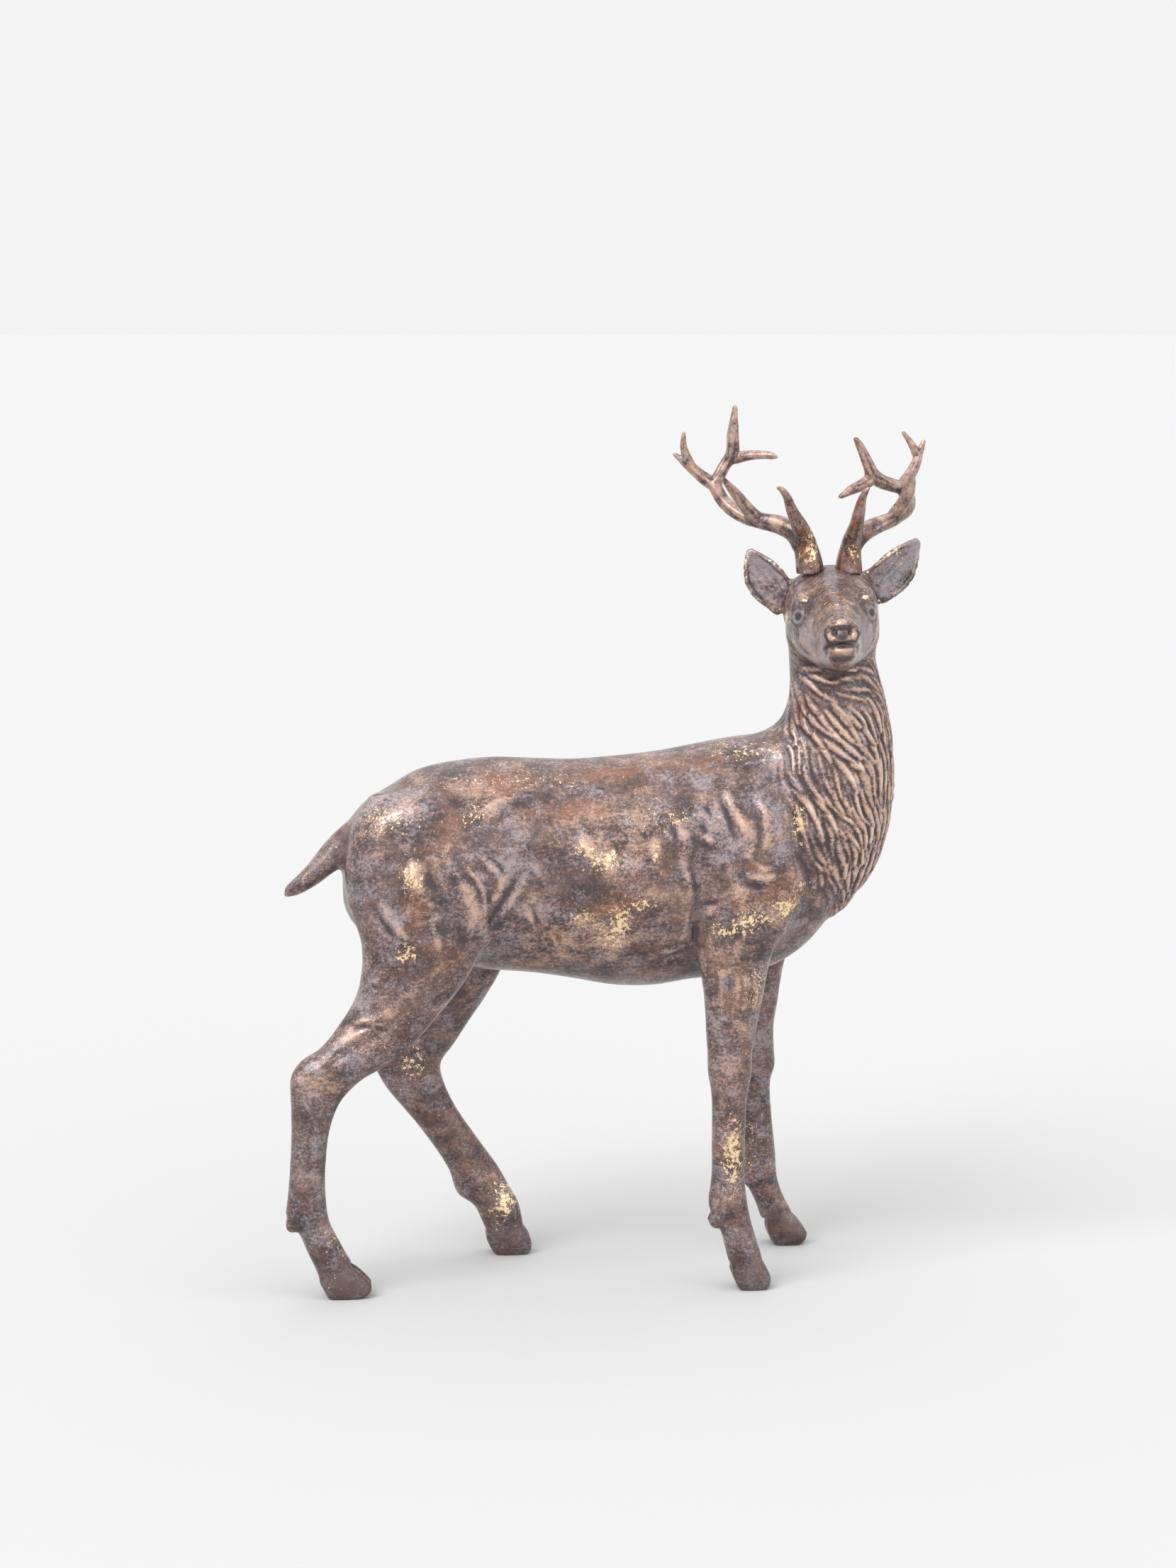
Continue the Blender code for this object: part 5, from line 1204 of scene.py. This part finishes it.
def antique_bronze():
    """Dark umber, hazed with lilac grey in patches, stained rust, and rubbed with copper where it stands
    proud, with painted highlight in copper on the belly and flank and painted shade beside the eyes. Flakes
    of gold leaf lie over it."""
    finish = Finish("antique_bronze")
    raised, broad, leaf = finish.value("raised"), finish.value("broad"), finish.value("leaf")
    rust_here, haze_here, rub_and_highlight_here = finish.value("rust"), finish.value("haze"), finish.value("rubbed")
    grain = finish.cloud(0.5, 2.0)
    speckle = finish.cloud(1.6, 5.0, 40.0, (0.85, 0.9, 1.1), 0.7)
    mottle = finish.cloud(8, 6.0, 5.0, (0.7, 1, 1.1), 0.62)
    patches = finish.cloud(22, 4.0, 3.0, (0.7, 1, 1.2))
    lines = finish.cloud(0.5, 1.0, 9.0, (0.08, 0.08, 1.4))
    at_head = finish.on_head()
    pale = finish.spots(at_head, FACE_TAN) * (1 - finish.spots(at_head, NOSTRILS))
    # the face's dark paint, with the painted shade beside the eyes, kept off the tan places
    dark = finish.spots(at_head, FACE_DARK_AND_SHADE, 0.35) * (1 - pale)
    height_here = finish.node("SeparateXYZ", {}, {0: finish.place()}, 2)
    hoof = finish.step(height_here + (mottle - 0.5) * 14, *HOOF_PAINT)
    leg = finish.step(height_here, *LEG_PAINT)

    fine = (grain - 0.5) * 0.7 + (speckle - 0.5) * 1.2 + (lines - 0.5) * 0.2
    tone = mottle * 0.55 + patches * 0.45 + fine * 0.25
    colour = finish.blend(finish.step(tone, 0.36, 0.62), UMBER, BROWN)
    # rust, then grey haze
    stain = finish.cloud(14, 6.0, 71.0, (0.6, 1, 1.2), 0.65) + rust_here * 0.17 + fine * 0.5
    colour = finish.blend(finish.step(stain, 0.48, 0.80) * 0.85, colour, RUST)
    haze = finish.cloud(11, 6.0, 13.0, (0.8, 1, 1), 0.65) + haze_here * 0.14 + fine * 0.6 + raised * 0.16
    haze = finish.step(haze - rust_here * 0.08, 0.46, 0.80)
    haze = finish.most(haze, finish.spots(at_head, FACE_GREY, 0.4) * 0.7)
    colour = finish.blend(haze * 0.8, colour, LILAC)
    # copper where it is rubbed, and as painted highlight in the rubbed patches on the belly and flank,
    # palest where it stands proudest
    proud = raised * 0.85 + broad * 0.35 + fine * 1.3 + (mottle - 0.5) * 1.7 + (patches - 0.5) * 1.2
    proud = proud + rub_and_highlight_here * 0.42 - hoof * 0.35 - leg * 0.12
    rubbed = finish.most(finish.step(proud, 0.05, 0.95) * (1 - dark * 0.8), pale * 0.8)
    colour = finish.blend(rubbed * 0.92, colour, COPPER)
    colour = finish.blend(finish.step(proud, 0.75, 1.60) * (1 - dark) * 0.8, colour, PALE)
    # umber left in the hollows, on the dark paint and the painted shade of the face, and on the hooves
    hollow = leg * 0.2 - raised * 1.2 - broad * 0.4 - fine * 0.5 - (mottle - 0.48) * 1.1
    hollow = finish.step(hollow, 0.08, 0.75)
    hollow = finish.most(finish.most(hollow, dark), hoof * 0.55)
    colour = finish.blend(hollow * 0.85, colour, UMBER)
    # the eyes, then the leaf over all but them
    eyes = finish.spots(at_head, EYES, 0.2)
    colour = finish.blend(eyes * (0.45 + speckle * 0.4), colour, PEARL)
    colour = finish.blend(finish.spots(at_head, IRISES, 0.3) * 0.7, colour, BROWN)
    colour = finish.blend(finish.spots(at_head, PUPILS, 0.3), colour, UMBER)
    flakes = finish.cloud(2.2, 6.0, 23.0, (1, 1, 1), 0.75)
    flecks = finish.cloud(1.0, 3.0, 87.0, (1, 1, 1), 0.7)
    gold_here = leaf + finish.spots(at_head, FACE_GOLD, 0.5) * 0.8
    flaked = finish.step(flakes + gold_here * 0.22 + raised * 0.03, 0.675, 0.70)
    flecked = finish.step(flecks + gold_here * 0.12 + (patches - 0.5) * 0.22 + raised * 0.04, 0.70, 0.73)
    flaked = finish.most(flaked, flecked) * (1 - eyes)
    colour = finish.blend(flaked, colour, GOLD)
    height = grain * 0.5 + lines * 0.25 + speckle * 0.5 + flaked * 0.3
    normal = finish.node("Bump", {}, {**GRAIN, "Height": height})
    finish.feed(Base_Color=colour, Metallic=0.30 + flaked * 0.6, Coat_Weight=0.45,
                Roughness=0.40 - rubbed * 0.06 - flaked * 0.16 + hollow * 0.04 - eyes * 0.2 - hoof * 0.08,
                Normal=normal)
    finish.feed(Coat_Roughness=0.26)
    return finish.material


figure = new_object("stag_figure", finished_figure())
figure.data.materials.append(antique_bronze())
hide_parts("figure")
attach(figure, "root")


# Each antler is a resin cast of its own, with a flat root that stands in a seat in the head and is glued
# there. Its brow tine is bare dark bronze, its beam and the other tines are rubbed tan over the umber.
ANTLER_VOXEL = 0.5 * MM
ANTLER_TRIANGLES = 30000
# How its branches are eased into each other, weight and rounds, and let out again after it
ANTLER_EASE = (0.5, 9)
ANTLER_SWELL = 0.4
# One groove: half width and height, and how many run around a branch
GROOVE = (0.9, -0.30)
GROOVES_ROUND = 6
# What its paint follows, as on the figure, how far to the stag's right the brow tine's own paint begins, and
# over how far it fades in
ANTLER_FINE, ANTLER_BROAD = (20, 0.2), (60, 0.6)
BROW_FROM, BROW_FADE = 17, 4

# Each branch from its root to its tip: x, y, height above the seat, and radius
RIGHT_ANTLER = [
    [(105, -17, -6.5, 7.1), (104, -17, 4, 6.9), (101.5, -18, 15.5, 5.7), (99.5, -23, 21, 4.5),
     (92.5, -33, 33, 2.8), (86.5, -39.5, 44, 1.4), (84, -40.5, 45.5, 0.8)],
    [(101, -17, 13.5, 5.4), (96.5, -16, 20.5, 5.0), (91, -13, 24, 4.8), (78.5, -7, 27, 4.0),
     (72.5, -3, 28.5, 3.7), (62.5, 5, 35.5, 3.3), (57.5, 9, 44.5, 3.3)],
    [(77.5, -8, 28, 3.5), (72, -11, 33.5, 3.2), (66.5, -14, 40, 2.7), (58.5, -19, 49, 1.1)],
    [(58.5, 9, 44, 3.3), (53.5, 12, 47, 3.2), (45, 14, 54, 2.5), (37.5, 15, 60, 0.9)],
    [(45, 14, 55, 2.6), (42, 14, 64, 1.6), (42, 14, 71, 0.9)],
    [(58.5, 9, 46, 3.1), (63.5, 10, 55, 2.9), (66.5, 9, 59.5, 3.4), (67, 8, 70.5, 2.9),
     (68, 8, 84.5, 1.1)],
    [(67, 9, 58, 3.0), (76, 2, 60, 2.5), (86, -4, 60, 1.7), (88, -5, 59.5, 1.0)],
]
LEFT_ANTLER = [
    [(125, -17, -6.5, 7.0), (124.5, -17, 3.5, 6.7), (125.5, -19, 15.5, 4.9), (126.5, -30, 27, 3.3),
     (127, -33, 32.5, 2.9), (129, -39.5, 43, 1.4), (130.5, -40.5, 45, 0.8)],
    [(126.5, -17, 14.5, 4.8), (130, -17, 19.5, 5.0), (139, -13, 24, 4.2), (151.5, -4, 28, 3.5),
     (160, 8, 35, 3.4), (157.5, 14, 42, 3.3)],
    [(148.5, -6, 27, 3.4), (156, -12, 40.5, 3.0), (157.5, -17, 52.5, 1.2)],
    [(157, 14, 42, 3.3), (165, 21, 52.5, 2.8), (169, 24, 62, 1.6), (170.5, 24, 66, 0.9)],
    [(166.5, 23, 59, 2.2), (164.5, 24, 63.5, 1.7), (159.5, 24, 70.5, 0.9)],
    [(158.5, 14, 42.5, 3.2), (152, 12, 43.5, 3.3), (141, 8, 49, 3.6), (138.5, 7, 54, 3.0),
     (133, 5, 65, 1.9), (131, 4, 68, 1.1)],
    [(140.5, 8, 47.5, 3.3), (134.5, 5, 44, 2.9), (129, 2, 42, 2.4), (122.5, -1, 38.5, 1.1)],
]


def antler_curve(branches):
    """One round rod for each branch, its thickness following the branch's radii."""
    curve = bpy.data.curves.new("antler_curve", "CURVE")
    curve.dimensions = "3D"
    curve.bevel_depth = MM
    curve.bevel_resolution = 5
    curve.resolution_u = 8
    curve.use_fill_caps = True
    for branch in branches:
        spline = curve.splines.new("BEZIER")
        spline.bezier_points.add(len(branch) - 1)
        for point, (x, y, z, radius) in zip(spline.bezier_points, branch):
            point.co = Vector((x, y, SEAT_HEIGHT + z)) * MM
            point.radius = radius
            point.handle_left_type = point.handle_right_type = "AUTO"
    return curve


def finished_antler(branches, seed):
    """The branches with a small ball on each tip, under one skin, grooved lengthways."""
    bm = bmesh.new()
    bm.from_mesh(taken_from(new_object("antler_rods", antler_curve(branches))))
    for x, y, z, radius in (branch[-1] for branch in branches):
        ball(bm, (x, y, SEAT_HEIGHT + z), [radius] * 3)
    mesh = remeshed(mesh_of(bm, "antler_clay"), ANTLER_VOXEL)
    weight, rounds = ANTLER_EASE
    eased(mesh, np.full(len(mesh.vertices), weight), rounds)
    skin_of = Skin(mesh)
    skin_of.relief[:] = ANTLER_SWELL * MM
    skin_of.finish()
    chance = random.Random(seed)
    skin_of = Skin(mesh)
    for branch in branches:
        middle = [Vector((x, y, SEAT_HEIGHT + z)) * MM for x, y, z, _ in branch]
        for i in range(GROOVES_ROUND):
            turn = 2 * math.pi * (i + chance.uniform(-0.3, 0.3)) / GROOVES_ROUND
            first = chance.randrange(0, max(1, len(middle) - 4))
            path = []
            for (x, y, z, radius), here, ahead in zip(branch[first:], middle[first:], middle[first + 1:]):
                way = (ahead - here).normalized()
                across = way.cross(Vector((0.3, 1, 0.2))).normalized()
                out = across * math.cos(turn) + way.cross(across) * math.sin(turn)
                path.append(skin_of.tree.find_nearest(here + out * (radius + 1) * MM)[0])
            if len(path) > 2:
                skin_of.stroke(path, *GROOVE)
    skin_of.finish()
    fine = points_of(mesh)
    values = {"raised": relief_of(mesh, *ANTLER_FINE), "broad": relief_of(mesh, *ANTLER_BROAD),
              "brow": np.clip((-fine[:, 1] / MM - BROW_FROM) / BROW_FADE, 0, 1),
              "leaf": patch_share(fine, LEAF)}
    mesh = thinned(mesh, ANTLER_TRIANGLES)
    cut_flat(mesh, (0, 0, SEAT_HEIGHT * MM), (0, 0, -1))
    keep_values(fine, mesh, **values)
    set_points(mesh, points_of(mesh) - MIDDLE)
    mesh.shade_smooth()
    return mesh


def antler_bronze():
    """The same paints as on the figure, rubbed paler, and darker on the brow tine."""
    finish = Finish("rubbed_antler_bronze")
    raised, broad = finish.value("raised"), finish.value("broad")
    brow, leaf = finish.value("brow"), finish.value("leaf")
    grain = finish.cloud(0.5, 2.0)
    speckle = finish.cloud(1.4, 4.0, 40.0)
    patches = finish.cloud(6, 4.0, 17.0)
    fine = (grain - 0.5) * 0.5 + (speckle - 0.5) * 0.9
    colour = finish.blend(finish.step(patches + fine * 0.5, 0.38, 0.60), UMBER, BROWN)
    stain = finish.step(finish.cloud(8, 4.0, 71.0) + fine * 0.4 + brow * 0.1, 0.50, 0.70)
    colour = finish.blend(stain * 0.8, colour, RUST)
    haze = finish.step(finish.cloud(9, 4.0, 31.0) + fine * 0.35, 0.46, 0.72)
    colour = finish.blend(haze * 0.65, colour, LILAC)
    proud = raised * 0.9 + fine * 1.2 + (patches - 0.5) * 1.9 - brow * 0.35
    rubbed = finish.step(proud, 0.1, 1.2)
    colour = finish.blend(rubbed * 0.65, colour, COPPER)
    colour = finish.blend(finish.step(proud, 0.75, 1.6) * 0.45, colour, PALE)
    hollow = finish.step(0.0 - raised - broad * 0.5 - fine * 0.6 - (patches - 0.5) * 0.8, 0.05, 0.7)
    colour = finish.blend(hollow * 0.85, colour, UMBER)
    flakes = finish.cloud(1.8, 5.0, 53.0, (1, 1, 1), 0.75)
    flaked = finish.step(flakes + leaf * 0.22, 0.68, 0.70)
    colour = finish.blend(flaked, colour, GOLD)
    height = grain * 0.5 + speckle * 0.6 + flaked * 0.3
    normal = finish.node("Bump", {}, {**GRAIN, "Height": height})
    finish.feed(Base_Color=colour, Metallic=0.40 + flaked * 0.5, Coat_Weight=0.35,
                Roughness=0.38 - flaked * 0.16 - brow * 0.12, Normal=normal)
    finish.feed(Coat_Roughness=0.22)
    return finish.material


antler_finish = antler_bronze()
for name, branches, seed in (("right_antler", RIGHT_ANTLER, 3), ("left_antler", LEFT_ANTLER, 4)):
    antler = new_object(f"stag_{name}", finished_antler(branches, seed))
    antler.data.materials.append(antler_finish)
    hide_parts(name)
    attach(antler, "root")


# The studio: a white floor that runs into a white background, soft light from all around, and three wide
# lamps.
STUDIO_GREY = (0.896, 0.896, 0.896, 1)
PAPER = (0.488, 0.488, 0.488, 1)
bm = bmesh.new()
bmesh.ops.create_grid(bm, x_segments=1, y_segments=1, size=40)
floor = new_object("floor", mesh_of(bm, "floor"))
paper = Finish("white_paper")
paper.feed(Base_Color=PAPER, Roughness=1.0, Specular_IOR_Level=0.0)
floor.data.materials.append(paper.material)

world = bpy.data.worlds.new("studio")
bpy.context.scene.world = world
world.use_nodes = True
world.node_tree.nodes["Background"].inputs["Color"].default_value = STUDIO_GREY
world.node_tree.nodes["Background"].inputs["Strength"].default_value = 1.0

# Each lamp: how bright, where from, and how wide it looks from the stag, in degrees
LAMPS = {"key": (2.6, (-1.6, -1.6, 2.2), 40), "fill": (1.0, (1.8, -1.8, 0.9), 80),
         "top": (1.0, (0.3, 0.6, 2.0), 70)}
for name, (energy, place, width) in LAMPS.items():
    light = bpy.data.lights.new(name, "SUN")
    light.energy = energy
    light.angle = math.radians(width)
    lamp = new_object(name, light)
    lamp.location = place
    lamp.rotation_euler = (-Vector(place)).to_track_quat("-Z", "Y").to_euler()

# The camera stands a little above the stag, nearly side on: its place, the way back from it, and its up
CAMERA_PLACE = (-0.16873, -1.79866, 0.51740)
CAMERA_BACK = Vector((-0.08631, -0.98650, 0.13917))
CAMERA_UP = Vector((0.01213, 0.13864, 0.99027))
camera = bpy.data.cameras.new("camera")
camera.lens = 80.67
camera.sensor_width = 36
view = new_object("camera", camera)
right = CAMERA_UP.cross(CAMERA_BACK)
turn = Matrix((right, CAMERA_UP, CAMERA_BACK)).transposed().to_4x4()
view.matrix_world = Matrix.Translation(CAMERA_PLACE) @ turn
bpy.context.scene.camera = view
bpy.context.scene.view_settings.view_transform = "Standard"
